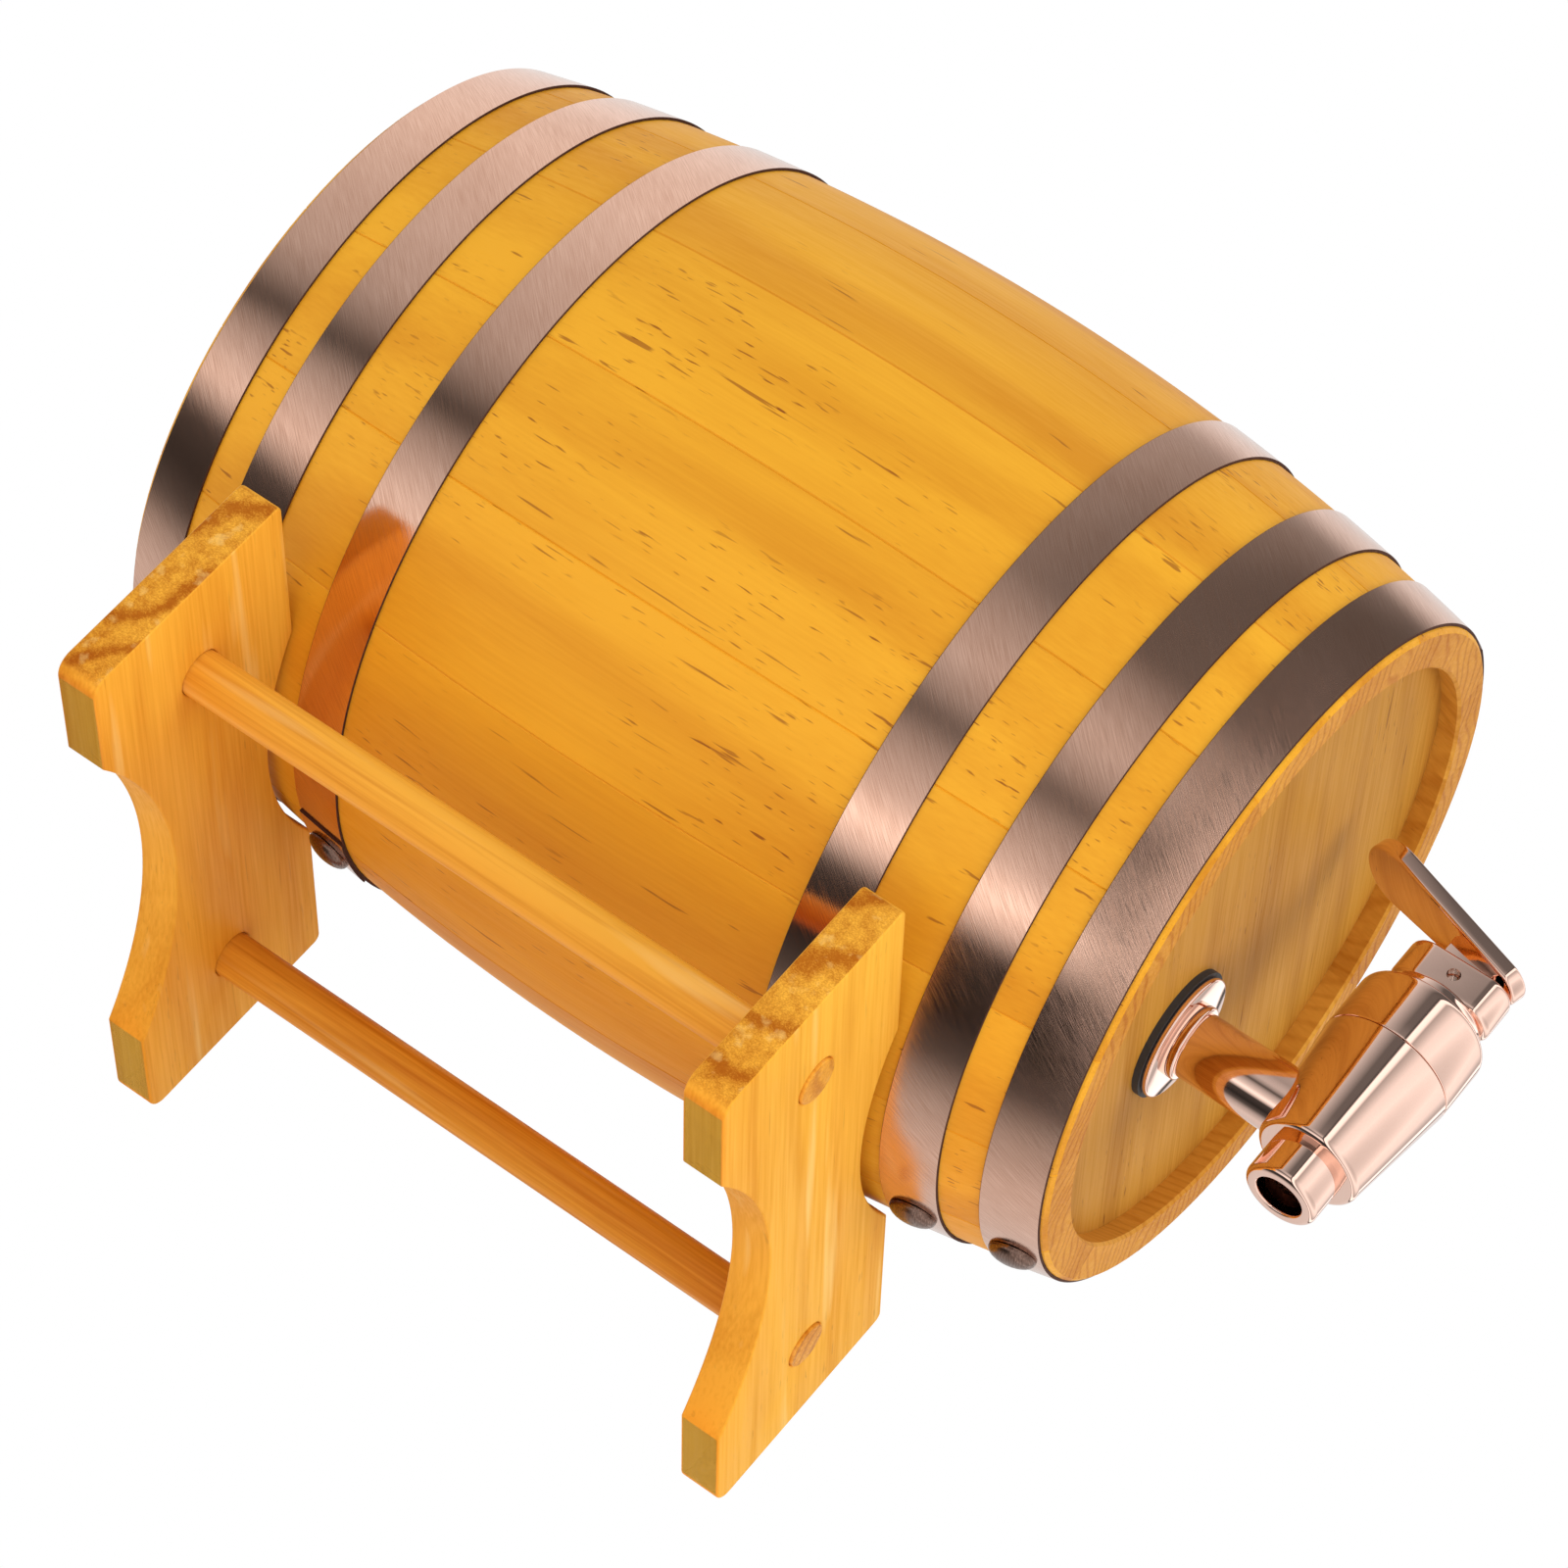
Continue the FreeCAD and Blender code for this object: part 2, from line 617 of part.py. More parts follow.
def make_lever():
    """Paddle over the tap, pointing back at the cask, on a web that straddles the valve stem's neck."""
    body = new_body("tap_lever")
    under = S["paddle_rise"] - S["pin_rise"]
    paddle = new_sketch(body, "XY", lift=under, tilt=S["paddle_tilt"].value)
    bind(paddle, "AttachmentOffset.Rotation.Angle", S["paddle_tilt"])
    add_outline(paddle, tangent_corners(S["paddle_tip_radius"], S["paddle_tip_reach"],
                                        S["paddle_heel_radius"], S["paddle_heel_reach"]))
    pad(body, paddle, S["paddle_thick"])
    soften(body, S["paddle_edge"], lambda edge: True)
    half = S["web_length"] / 2
    bend = S["web_round"]
    web = new_sketch(body, "YZ")
    add_outline(web, [
        (-half, under), (-half, 0), (-bend, 0, bend, 1), (0, -bend, bend, 1), (bend, 0), (half, 0),
        (half, under + S["paddle_thick"]), (0, under + S["paddle_thick"] / 2),
    ])
    pad(body, web, S["web_thick"], symmetric=True)
    hole = new_sketch(body, "YZ")
    add_circle(hole, 0, 0, S["pin_radius"] + S["pin_play"])
    pocket_through(body, hole)
    slot = new_sketch(body, "XZ")
    slot_half = S["neck_radius"] + S["neck_play"]
    slot_low = -S["web_round"] * OVERRUN_SHARE
    add_outline(slot, [(-slot_half, slot_low), (slot_half, slot_low), (slot_half, 0), (-slot_half, 0)])
    pocket_through(body, slot)
    place(body, y=tap_y, z=tap_z + pin_height)


def make_pin():
    body = new_body("lever_pin")
    sketch = new_sketch(body, "YZ")
    add_circle(sketch, 0, 0, S["pin_radius"])
    pad(body, sketch, S["bonnet_width"], symmetric=True)
    place(body, y=tap_y, z=tap_z + pin_height)


def make_stem():
    """The plunger: a stem whose neck reaches into the lever's web, and the disc that carries the seal."""
    body = new_body("valve_stem")
    disc_low = valve_top - S["valve_thick"]
    spare = S["stem_gap"] + S["valve_travel"]
    neck_low = pin_height - S["web_round"] - spare
    top = pin_height - S["pin_radius"] - spare
    sketch = new_sketch(body, "YZ")
    add_outline(sketch, [
        (0, disc_low), (S["valve_radius"], disc_low), (S["valve_radius"], valve_top),
        (S["stem_radius"], valve_top), (S["stem_radius"], neck_low), (S["neck_radius"], neck_low),
        (S["neck_radius"], top), (0, top),
    ])
    turn_about(body, sketch, "Z_Axis")
    place(body, y=tap_y, z=tap_z)


def make_disc(label, outer, inner, low, high):
    """A round or ring-shaped piece on the tap's upright axis."""
    body = new_body(label)
    sketch = new_sketch(body, "YZ")
    add_outline(sketch, [(inner, low), (outer, low), (outer, high), (inner, high)])
    turn_about(body, sketch, "Z_Axis")
    place(body, y=tap_y, z=tap_z)


# Assembly

parts = []
make_board("front_board", -1)
make_board("rear_board", 1)
make_dowel("dowel_left", -1)
make_dowel("dowel_right", 1)
for stave in range(int(S["stave_count"].value)):
    make_stave(stave)
make_head("front_head", -1)
make_head("rear_head", 1)
for end_name, side in (("front", -1), ("rear", 1)):
    for hoop_name in ("end", "quarter", "bilge"):
        make_hoop("hoop_{}_{}".format(end_name, hoop_name), hoop_name, side)
make_rivets()
make_bung()
shank_hole = S["tail_radius"] + S["tail_play"]
make_ring("tap_gasket", S["gasket_radius"], shank_hole, S["gasket_thick"], head_face_y)
make_ring("shank_washer", S["washer_radius"], shank_hole, S["washer_thick"],
          head_face_y + S["head_thick"] + S["washer_thick"])
make_nut()
make_tap_spout()
make_tap_body()
make_tap_cap()
make_bonnet()
make_lever()
make_pin()
make_stem()
make_disc("valve_seal", S["seal_radius"], 0, -S["chamber_floor"], -S["chamber_floor"] + S["seal_thick"])
make_disc("valve_spring", S["spring_outer"], S["spring_inner"], valve_top, spring_top)
doc.recompute()


# Every object must have been worked out, and every piece must be a sound closed solid

for thing in doc.Objects:
    if "Invalid" in thing.State or "Error" in thing.State:
        raise RuntimeError("not worked out: " + thing.Label)
for piece in parts:
    if piece.Shape.isNull() or not piece.Shape.isValid() or not piece.Shape.Solids:
        raise RuntimeError("no sound solid: " + piece.Label)

os.makedirs("parts", exist_ok=True)
for piece in parts:
    piece.Shape.exportStep("parts/{}.step".format(piece.Label))
print("wrote", len(parts), "pieces; axis height", round(axis_height.value, 2), "tap y", round(tap_y.value, 2))
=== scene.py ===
"""Looks of a small wooden cask with copper hoops, on a two-board stand, with a rose-gold tap.

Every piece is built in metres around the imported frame: +Z up, the tap at -Y, the feet on z = 0.
"""

import logging
import math
import random
from dataclasses import dataclass, field
from enum import Enum

import bmesh
import bpy
from mathutils import Matrix, Vector


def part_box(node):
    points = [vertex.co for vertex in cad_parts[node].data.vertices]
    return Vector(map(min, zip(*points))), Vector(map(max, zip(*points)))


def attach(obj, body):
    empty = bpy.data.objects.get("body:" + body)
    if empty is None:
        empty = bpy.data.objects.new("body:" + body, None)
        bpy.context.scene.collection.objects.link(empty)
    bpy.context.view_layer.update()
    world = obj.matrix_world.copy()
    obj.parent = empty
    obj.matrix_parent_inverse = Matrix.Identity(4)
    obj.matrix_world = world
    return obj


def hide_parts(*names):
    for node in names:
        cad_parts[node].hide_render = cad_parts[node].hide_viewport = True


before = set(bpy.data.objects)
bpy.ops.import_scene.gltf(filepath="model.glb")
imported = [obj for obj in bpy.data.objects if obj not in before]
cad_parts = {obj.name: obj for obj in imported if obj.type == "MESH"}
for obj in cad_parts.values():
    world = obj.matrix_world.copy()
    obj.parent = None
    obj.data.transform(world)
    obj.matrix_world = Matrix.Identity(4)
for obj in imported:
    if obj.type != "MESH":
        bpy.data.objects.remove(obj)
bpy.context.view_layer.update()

MM = 0.001
LOG = logging.getLogger("cask")

Triple = tuple[float, float, float]
Colour = Triple
Point = tuple[float, float]
Mesh = bpy.types.Mesh
Material = bpy.types.Material
Socket = bpy.types.NodeSocket

# Turns that take a shape's own +Z onto the axis in the name, or stand a flat plate up to face the front.
ONTO_X = Matrix.Rotation(math.pi / 2, 4, "Y")
ONTO_Y = Matrix.Rotation(-math.pi / 2, 4, "X")
FACE_FRONT = Matrix.Rotation(math.pi / 2, 4, "X")


class Grain(Enum):
    """The axis that a piece's fibres follow, with the turn that brings it onto the grain's own X axis."""

    ALONG_X = (0, (0.0, 0.0, 0.0))
    ALONG_Y = (1, (0.0, 0.0, -math.pi / 2))
    ALONG_Z = (2, (0.0, math.pi / 2, 0.0))


# Node tree helpers


class Tree:
    """Short calls that add nodes to one node tree."""

    def __init__(self, tree: bpy.types.NodeTree) -> None:
        """Keeps the tree."""
        self.tree = tree

    def add(self, kind: str, **settings: object) -> bpy.types.Node:
        """Adds a node.

        Args:
            kind: the node's type name.
            settings: properties to set on it.

        Returns:
            The new node.
        """
        node = self.tree.nodes.new(kind)
        for name, value in settings.items():
            setattr(node, name, value)
        return node

    def feed(self, socket: Socket, source: object) -> None:
        """Gives a socket its source.

        Args:
            socket: the input socket.
            source: the socket it is linked to, a plain value, or None to leave it alone.
        """
        if isinstance(source, Socket):
            self.tree.links.new(source, socket)
        elif source is not None:
            socket.default_value = source

    def math(self, operation: str, first: object, second: object = None, clamp: bool = False) -> Socket:
        """Adds a math node.

        Args:
            operation: its operation.
            first: socket or number.
            second: socket or number, or None where the operation has one input.
            clamp: whether the result is kept between 0 and 1.

        Returns:
            The result's socket.
        """
        node = self.add("ShaderNodeMath", operation=operation, use_clamp=clamp)
        self.feed(node.inputs[0], first)
        self.feed(node.inputs[1], second)
        return node.outputs[0]

    def times(self, first: object, second: object, clamp: bool = False) -> Socket:
        """Multiplies two sockets or numbers and returns the product's socket."""
        return self.math("MULTIPLY", first, second, clamp)

    def plus(self, first: object, second: object, clamp: bool = False) -> Socket:
        """Adds up two sockets or numbers and returns the sum's socket."""
        return self.math("ADD", first, second, clamp)

    def vector(self, operation: str, first: object, second: object) -> Socket:
        """Adds a vector math node.

        Args:
            operation: its operation.
            first: socket or three numbers.
            second: socket or three numbers.

        Returns:
            The vector's socket.
        """
        node = self.add("ShaderNodeVectorMath", operation=operation)
        self.feed(node.inputs[0], first)
        self.feed(node.inputs[1], second)
        return node.outputs[0]

    def parts(self, vector: Socket) -> bpy.types.NodeOutputs:
        """Splits a vector.

        Args:
            vector: the vector's socket.

        Returns:
            The sockets of its three parts.
        """
        node = self.add("ShaderNodeSeparateXYZ")
        self.feed(node.inputs[0], vector)
        return node.outputs

    def mix(self, share: object, first: object, second: object) -> Socket:
        """Adds a colour mix node.

        Args:
            share: how much of the second colour shows, from 0 to 1.
            first: socket or colour.
            second: socket or colour.

        Returns:
            The colour's socket.
        """
        node = self.add("ShaderNodeMix", data_type="RGBA")
        self.feed(node.inputs[0], share)
        for socket, source in ((node.inputs[6], first), (node.inputs[7], second)):
            self.feed(socket, (*source, 1.0) if isinstance(source, tuple) else source)
        return node.outputs[2]

    def noise(self, place: Socket, scale: float, detail: float = 2.0) -> Socket:
        """Adds a noise texture.

        Args:
            place: the socket of the point it is read at.
            scale: how fine it is.
            detail: how many finer layers it has.

        Returns:
            The value's socket.
        """
        node = self.add("ShaderNodeTexNoise")
        self.feed(node.inputs["Vector"], place)
        node.inputs["Scale"].default_value = scale
        node.inputs["Detail"].default_value = detail
        return node.outputs[0]

    def drawn_noise(self, place: Socket, share: float, scale: float, detail: float = 2.0) -> Socket:
        """Adds noise whose scale along X is only a share of the scale across, and returns its socket."""
        return self.noise(self.vector("MULTIPLY", place, (share, 1.0, 1.0)), scale, detail)

    def ramp(self, value: Socket, low: float, high: float, start: float = 0.0, end: float = 1.0) -> Socket:
        """Maps one range of values onto another, kept within it.

        Args:
            value: the socket that is mapped.
            low: the value that gives start.
            high: the value that gives end.
            start: the result at low.
            end: the result at high.

        Returns:
            The result's socket.
        """
        node = self.add("ShaderNodeMapRange")
        self.feed(node.inputs["Value"], value)
        limits = {"From Min": low, "From Max": high, "To Min": start, "To Max": end}
        for name, number in limits.items():
            node.inputs[name].default_value = number
        return node.outputs[0]

    def relief(self, shader: bpy.types.Node, height: Socket, strength: float, distance: float) -> None:
        """Feeds a bump to a shader's normal.

        Args:
            shader: the Principled node.
            height: the height's socket.
            strength: the bump's strength.
            distance: how deep a height of 1 is.
        """
        bump = self.add("ShaderNodeBump")
        bump.inputs["Strength"].default_value = strength
        bump.inputs["Distance"].default_value = distance
        self.feed(bump.inputs["Height"], height)
        self.feed(shader.inputs["Normal"], bump.outputs[0])


def new_group(name: str, inputs: dict[str, tuple[str, object]],
              outputs: dict[str, str]) -> bpy.types.NodeTree:
    """Makes an empty shader node group.

    Args:
        name: the group's name.
        inputs: socket name to its type and starting value.
        outputs: socket name to its type.

    Returns:
        The group with its two end nodes still missing.
    """
    group = bpy.data.node_groups.new(name, "ShaderNodeTree")
    for label, (kind, value) in inputs.items():
        socket = group.interface.new_socket(name=label, in_out="INPUT", socket_type=kind)
        if value is not None:
            socket.default_value = value
    for label, kind in outputs.items():
        group.interface.new_socket(name=label, in_out="OUTPUT", socket_type=kind)
    return group


# The wood's pattern: its fibres follow X, and its pith lies this far from zero along -Y and -Z, in metres.
PITH = (0.03, 0.11)
FIBRE_LIMITS = (0.3, 0.7)
WOOD_ROUGHNESS = (0.45, 0.62)
NUMBER, COLOUR = "NodeSocketFloat", "NodeSocketColor"


def draw_rings(tree: Tree, place: Socket, spacing: Socket) -> Socket:
    """Adds year rings about the pith, a little wavy.

    Args:
        tree: the group's tree.
        place: the point's socket.
        spacing: the socket with the distance from ring to ring.

    Returns:
        The socket that is 1 in a ring's dark middle and 0 between rings.
    """
    wave_height = 0.03
    parts = tree.parts(place)
    across = tree.math("POWER", tree.plus(parts[1], PITH[0]), 2.0)
    upward = tree.math("POWER", tree.plus(parts[2], PITH[1]), 2.0)
    wave = tree.times(tree.drawn_noise(place, 0.16, 30.0), wave_height)
    reach = tree.plus(tree.math("SQRT", tree.plus(across, upward)), wave)
    turn = tree.times(tree.math("DIVIDE", reach, spacing), 2 * math.pi)
    return tree.ramp(tree.math("SINE", turn), 0.1, 1.0)


def draw_flecks(tree: Tree, place: Socket) -> Socket:
    """Adds short dark dashes, crowded in some places, and a few long streaks.

    Args:
        tree: the group's tree.
        place: the point's socket.

    Returns:
        The socket that is 1 on a fleck and 0 beside it.
    """
    streak_depth = 0.8
    dash = tree.ramp(tree.drawn_noise(place, 0.10, 1350.0, 1.0), 0.665, 0.73)
    crowd = tree.ramp(tree.drawn_noise(place, 0.35, 40.0), 0.47, 0.64)
    streak = tree.ramp(tree.drawn_noise(place, 0.045, 620.0), 0.695, 0.74)
    return tree.plus(tree.times(dash, crowd), tree.times(streak, streak_depth))


def draw_sawn_end(tree: Tree, place: Socket, ring: Socket, speck: Socket) -> Socket:
    """Adds the spots and rings of a sawn end.

    Args:
        tree: the group's tree.
        place: the point's socket.
        ring: the rings' socket.
        speck: the socket of the finest noise.

    Returns:
        The socket that says how dark the end is, from 0 to 1.
    """
    speck_depth, mottle_depth, ring_depth = 0.45, 0.35, 0.6
    mottle = tree.noise(place, 420.0, 3.0)
    spots = tree.times(tree.ramp(speck, 0.36, 0.62), speck_depth)
    spots = tree.plus(spots, tree.times(tree.ramp(mottle, 0.38, 0.64), mottle_depth))
    return tree.plus(spots, tree.times(tree.math("POWER", ring, 2.0), ring_depth), clamp=True)


def draw_pale_wood(tree: Tree, place: Socket, side: Socket, end_share: Socket,
                   pale_share: Socket) -> Socket:
    """Adds pale streaks on the sides and pale patches on the ends.

    Args:
        tree: the group's tree.
        place: the point's socket.
        side: the socket that is 1 on a side face.
        end_share: the socket that is 1 on a sawn end.
        pale_share: the socket with how strongly they show.

    Returns:
        The socket that is 1 where the wood is palest.
    """
    patch_depth = 0.55
    streak = tree.ramp(tree.drawn_noise(place, 0.06, 190.0), 0.60, 0.74)
    patch = tree.ramp(tree.noise(place, 260.0, 3.0), 0.58, 0.70, 0.0, patch_depth)
    streak = tree.times(tree.times(streak, side), pale_share)
    patch = tree.times(tree.times(patch, end_share), pale_share)
    return tree.plus(streak, patch, clamp=True)


def make_wood_grain() -> bpy.types.NodeTree:
    """Builds the solid wood pattern that every wooden finish shares.

    Returns:
        The node group.
    """
    white = (1.0, 1.0, 1.0, 1.0)
    tone_depth, fibre_height, grit_height = 0.5, 0.5, 2.5
    group = new_group(
        "wood_grain",
        {
            "Vector": ("NodeSocketVector", None), "Light": (COLOUR, white), "Dark": (COLOUR, white),
            "Fleck": (COLOUR, white), "Pale": (COLOUR, white), "Tone": (NUMBER, 0.5),
            "Ring spacing": (NUMBER, 0.01), "Ring depth": (NUMBER, 0.4), "Fleck share": (NUMBER, 1.0),
            "Pale share": (NUMBER, 0.0), "Band depth": (NUMBER, 0.5), "End share": (NUMBER, 0.0),
            "Fibre depth": (NUMBER, 0.25), "End shade": (COLOUR, white),
        },
        {"Color": COLOUR, "Roughness": NUMBER, "Height": NUMBER},
    )
    tree = Tree(group)
    given = tree.add("NodeGroupInput").outputs
    place, end_share = given["Vector"], given["End share"]
    side = tree.math("SUBTRACT", 1.0, end_share)
    ring = draw_rings(tree, place, given["Ring spacing"])
    band = tree.ramp(tree.drawn_noise(place, 0.16, 42.0, 3.0), 0.36, 0.66)
    fibre = tree.drawn_noise(place, 0.02, 1400.0, 3.0)
    speck = tree.noise(tree.vector("MULTIPLY", place, (1.0, 0.7, 1.0)), 3600.0, 5.0)
    fleck = tree.times(tree.times(draw_flecks(tree, place), given["Fleck share"]), side, clamp=True)
    pale = draw_pale_wood(tree, place, side, end_share, given["Pale share"])
    depth = tree.times(band, given["Band depth"])
    depth = tree.plus(depth, tree.times(ring, given["Ring depth"]))
    depth = tree.plus(depth, tree.times(tree.ramp(fibre, *FIBRE_LIMITS, -0.5, 0.5), given["Fibre depth"]))
    depth = tree.plus(depth, tree.times(given["Tone"], tone_depth), clamp=True)
    end_depth = tree.times(end_share, draw_sawn_end(tree, place, ring, speck))
    shade = tree.mix(depth, given["Light"], given["Dark"])
    shade = tree.mix(end_depth, shade, tree.vector("MULTIPLY", shade, given["End shade"]))
    shade = tree.mix(pale, shade, given["Pale"])
    shade = tree.mix(fleck, shade, given["Fleck"])
    height = tree.math("SUBTRACT", tree.times(fibre, fibre_height), fleck)
    grit = tree.times(tree.times(speck, end_share), grit_height)
    ends = tree.add("NodeGroupOutput").inputs
    tree.feed(ends["Color"], shade)
    tree.feed(ends["Roughness"], tree.ramp(fibre, *FIBRE_LIMITS, *WOOD_ROUGHNESS))
    tree.feed(ends["Height"], tree.plus(height, grit))
    return group


def make_brushed_lines() -> bpy.types.NodeTree:
    """Builds the hairline pattern of brushed metal; its lines follow X, in metres.

    Returns:
        The node group.
    """
    group = new_group(
        "brushed_lines",
        {"Vector": ("NodeSocketVector", None), "Smooth": (NUMBER, 0.2), "Rough": (NUMBER, 0.35)},
        {"Line": NUMBER, "Stain": NUMBER, "Roughness": NUMBER},
    )
    tree = Tree(group)
    given = tree.add("NodeGroupInput").outputs
    line = tree.drawn_noise(given["Vector"], 0.035, 4200.0, 3.0)
    stain = tree.ramp(tree.drawn_noise(given["Vector"], 0.5, 55.0, 3.0), 0.35, 0.7)
    span = tree.math("SUBTRACT", given["Rough"], given["Smooth"])
    rough = tree.plus(given["Smooth"], tree.times(span, tree.ramp(line, 0.3, 0.7)))
    ends = tree.add("NodeGroupOutput").inputs
    tree.feed(ends["Line"], line)
    tree.feed(ends["Stain"], stain)
    tree.feed(ends["Roughness"], rough)
    return group


WOOD_GRAIN = make_wood_grain()
BRUSHED_LINES = make_brushed_lines()


# Finishes


def new_finish(name: str) -> tuple[Material, Tree, bpy.types.Node]:
    """Makes a material with its main shader.

    Args:
        name: the material's name.

    Returns:
        The material, its tree and its Principled node.
    """
    material = bpy.data.materials.new(name)
    material.use_nodes = True
    tree = Tree(material.node_tree)
    return material, tree, material.node_tree.nodes["Principled BSDF"]


# How far a tone of 1 moves a piece's pattern, in metres, so that no two pieces look alike.
TONE_SHIFT = (0.31, 0.47, 0.29)
# How squarely a face looks along the fibres where end grain begins and where it is full.
END_LIMITS = (0.70, 0.90)


@dataclass(frozen=True)
class WoodFinish:
    """A varnished wood."""

    name: str
    grain: Grain
    light: Colour
    dark: Colour
    fleck: Colour = (0.16, 0.05, 0.008)
    pale: Colour = (0.93, 0.62, 0.22)
    end_shade: Colour = (0.52, 0.31, 0.16)
    ring_spacing: float = 9.0 * MM
    ring_depth: float = 0.3
    band_depth: float = 0.5
    fleck_share: float = 1.0
    fibre_depth: float = 0.25
    pale_share: float = 0.0
    varnish: float = 0.05
    varnish_roughness: float = 0.3
    sheen: float = 0.22
    bump: float = 0.16
    bump_depth: float = 0.15 * MM

    def build(self) -> Material:
        """Makes the material.

        Returns:
            The material, which reads Object coordinates and the piece's own tone attribute.
        """
        material, tree, shader = new_finish(self.name)
        coordinates = tree.add("ShaderNodeTexCoord")
        tone = tree.add("ShaderNodeAttribute", attribute_name="tone").outputs["Fac"]
        offset = tree.add("ShaderNodeCombineXYZ")
        for socket, step in zip(offset.inputs, TONE_SHIFT):
            tree.feed(socket, tree.times(tone, step))
        axis, turn = self.grain.value
        moved = tree.vector("ADD", coordinates.outputs["Object"], offset.outputs[0])
        mapping = tree.add("ShaderNodeMapping")
        tree.feed(mapping.inputs["Vector"], moved)
        mapping.inputs["Rotation"].default_value = turn
        facing = tree.math("ABSOLUTE", tree.parts(coordinates.outputs["Normal"])[axis])
        wood = tree.add("ShaderNodeGroup", node_tree=WOOD_GRAIN)
        tree.feed(wood.inputs["Vector"], mapping.outputs[0])
        tree.feed(wood.inputs["Tone"], tree.math("SUBTRACT", tone, 0.5))
        tree.feed(wood.inputs["End share"], tree.ramp(facing, *END_LIMITS))
        for label, colour in (("Light", self.light), ("Dark", self.dark), ("Fleck", self.fleck),
                              ("Pale", self.pale), ("End shade", self.end_shade)):
            wood.inputs[label].default_value = (*colour, 1.0)
        for label, value in (("Ring spacing", self.ring_spacing), ("Ring depth", self.ring_depth),
                             ("Band depth", self.band_depth), ("Fleck share", self.fleck_share),
                             ("Pale share", self.pale_share), ("Fibre depth", self.fibre_depth)):
            wood.inputs[label].default_value = value
        tree.feed(shader.inputs["Base Color"], wood.outputs["Color"])
        tree.feed(shader.inputs["Roughness"], wood.outputs["Roughness"])
        shader.inputs["Coat Weight"].default_value = self.varnish
        shader.inputs["Coat Roughness"].default_value = self.varnish_roughness
        shader.inputs["Specular IOR Level"].default_value = self.sheen
        tree.relief(shader, wood.outputs["Height"], self.bump, self.bump_depth)
        return material


@dataclass(frozen=True)
class MetalFinish:
    """A metal with hairlines along X, or slanted round the cask's axis where ring_height is given."""

    name: str
    light: Colour
    dark: Colour
    smooth: float = 0.2
    rough: float = 0.35
    ring_height: float | None = None
    ring_radius: float = 85.0 * MM
    slant: float = 0.0
    bump: float = 0.12
    bump_depth: float = 0.02 * MM
    metallic: float = 1.0
    specular: float = 0.5
    streak_share: float = 0.7
    stain_share: float = 0.4

    def place(self, tree: Tree) -> Socket:
        """Adds what turns a point into its place along and across the hairlines.

        Args:
            tree: the material's tree.

        Returns:
            The place's socket.
        """
        coordinates = tree.add("ShaderNodeTexCoord").outputs["Object"]
        if self.ring_height is None:
            return coordinates
        parts = tree.parts(coordinates)
        height = tree.math("SUBTRACT", parts[2], self.ring_height)
        turn = tree.math("ARCTAN2", parts[0], height)
        joined = tree.add("ShaderNodeCombineXYZ")
        tree.feed(joined.inputs[0], tree.times(turn, self.ring_radius))
        tree.feed(joined.inputs[1], parts[1])
        turned = tree.add("ShaderNodeMapping")
        tree.feed(turned.inputs["Vector"], joined.outputs[0])
        turned.inputs["Rotation"].default_value = (0.0, 0.0, -math.radians(self.slant))
        return turned.outputs[0]

    def build(self) -> Material:
        """Makes the material.

        Returns:
            The material.
        """
        material, tree, shader = new_finish(self.name)
        lines = tree.add("ShaderNodeGroup", node_tree=BRUSHED_LINES)
        tree.feed(lines.inputs["Vector"], self.place(tree))
        lines.inputs["Smooth"].default_value = self.smooth
        lines.inputs["Rough"].default_value = self.rough
        streak = tree.ramp(lines.outputs["Line"], 0.35, 0.65, 0.0, self.streak_share)
        share = tree.plus(tree.times(lines.outputs["Stain"], self.stain_share), streak, clamp=True)
        tree.feed(shader.inputs["Base Color"], tree.mix(share, self.light, self.dark))
        tree.feed(shader.inputs["Roughness"], lines.outputs["Roughness"])
        shader.inputs["Metallic"].default_value = self.metallic
        shader.inputs["Specular IOR Level"].default_value = self.specular
        tree.relief(shader, lines.outputs["Line"], self.bump, self.bump_depth)
        return material


@dataclass(frozen=True)
class RubberFinish:
    """A matte black rubber."""

    name: str = "black_rubber"
    dark: Colour = (0.012, 0.012, 0.012)
    light: Colour = (0.035, 0.033, 0.032)
    smooth: float = 0.55
    rough: float = 0.75

    def build(self) -> Material:
        """Makes the material.

        Returns:
            The material.
        """
        material, tree, shader = new_finish(self.name)
        mottle = tree.noise(tree.add("ShaderNodeTexCoord").outputs["Object"], 700.0, 4.0)
        tree.feed(shader.inputs["Base Color"], tree.mix(mottle, self.dark, self.light))
        tree.feed(shader.inputs["Roughness"], tree.ramp(mottle, 0.3, 0.7, self.smooth, self.rough))
        return material


# Mesh helpers


def arc(centre: Point, radius: float, start: float, end: float, steps: int) -> list[Point]:
    """Points on an arc.

    Args:
        centre: its centre.
        radius: its radius.
        start: first angle in degrees.
        end: last angle in degrees.
        steps: how many stretches it is cut into.

    Returns:
        The points, both ends included.
    """
    angles = [math.radians(start + (end - start) * step / steps) for step in range(steps + 1)]
    return [(centre[0] + radius * math.cos(a), centre[1] + radius * math.sin(a)) for a in angles]


def hole(centre: Point, radius: float) -> list[Point]:
    """Outline of a round hole of 24 points, each given once, and returns it."""
    return arc(centre, radius, 360, 15, 23)


def smooth(mesh: Mesh, sharp: float = 32.0) -> Mesh:
    """Shades a mesh smooth.

    Args:
        mesh: the mesh.
        sharp: the angle in degrees from which an edge stays sharp.

    Returns:
        The same mesh.
    """
    mesh.shade_smooth()
    mesh.set_sharp_from_angle(angle=math.radians(sharp))
    return mesh


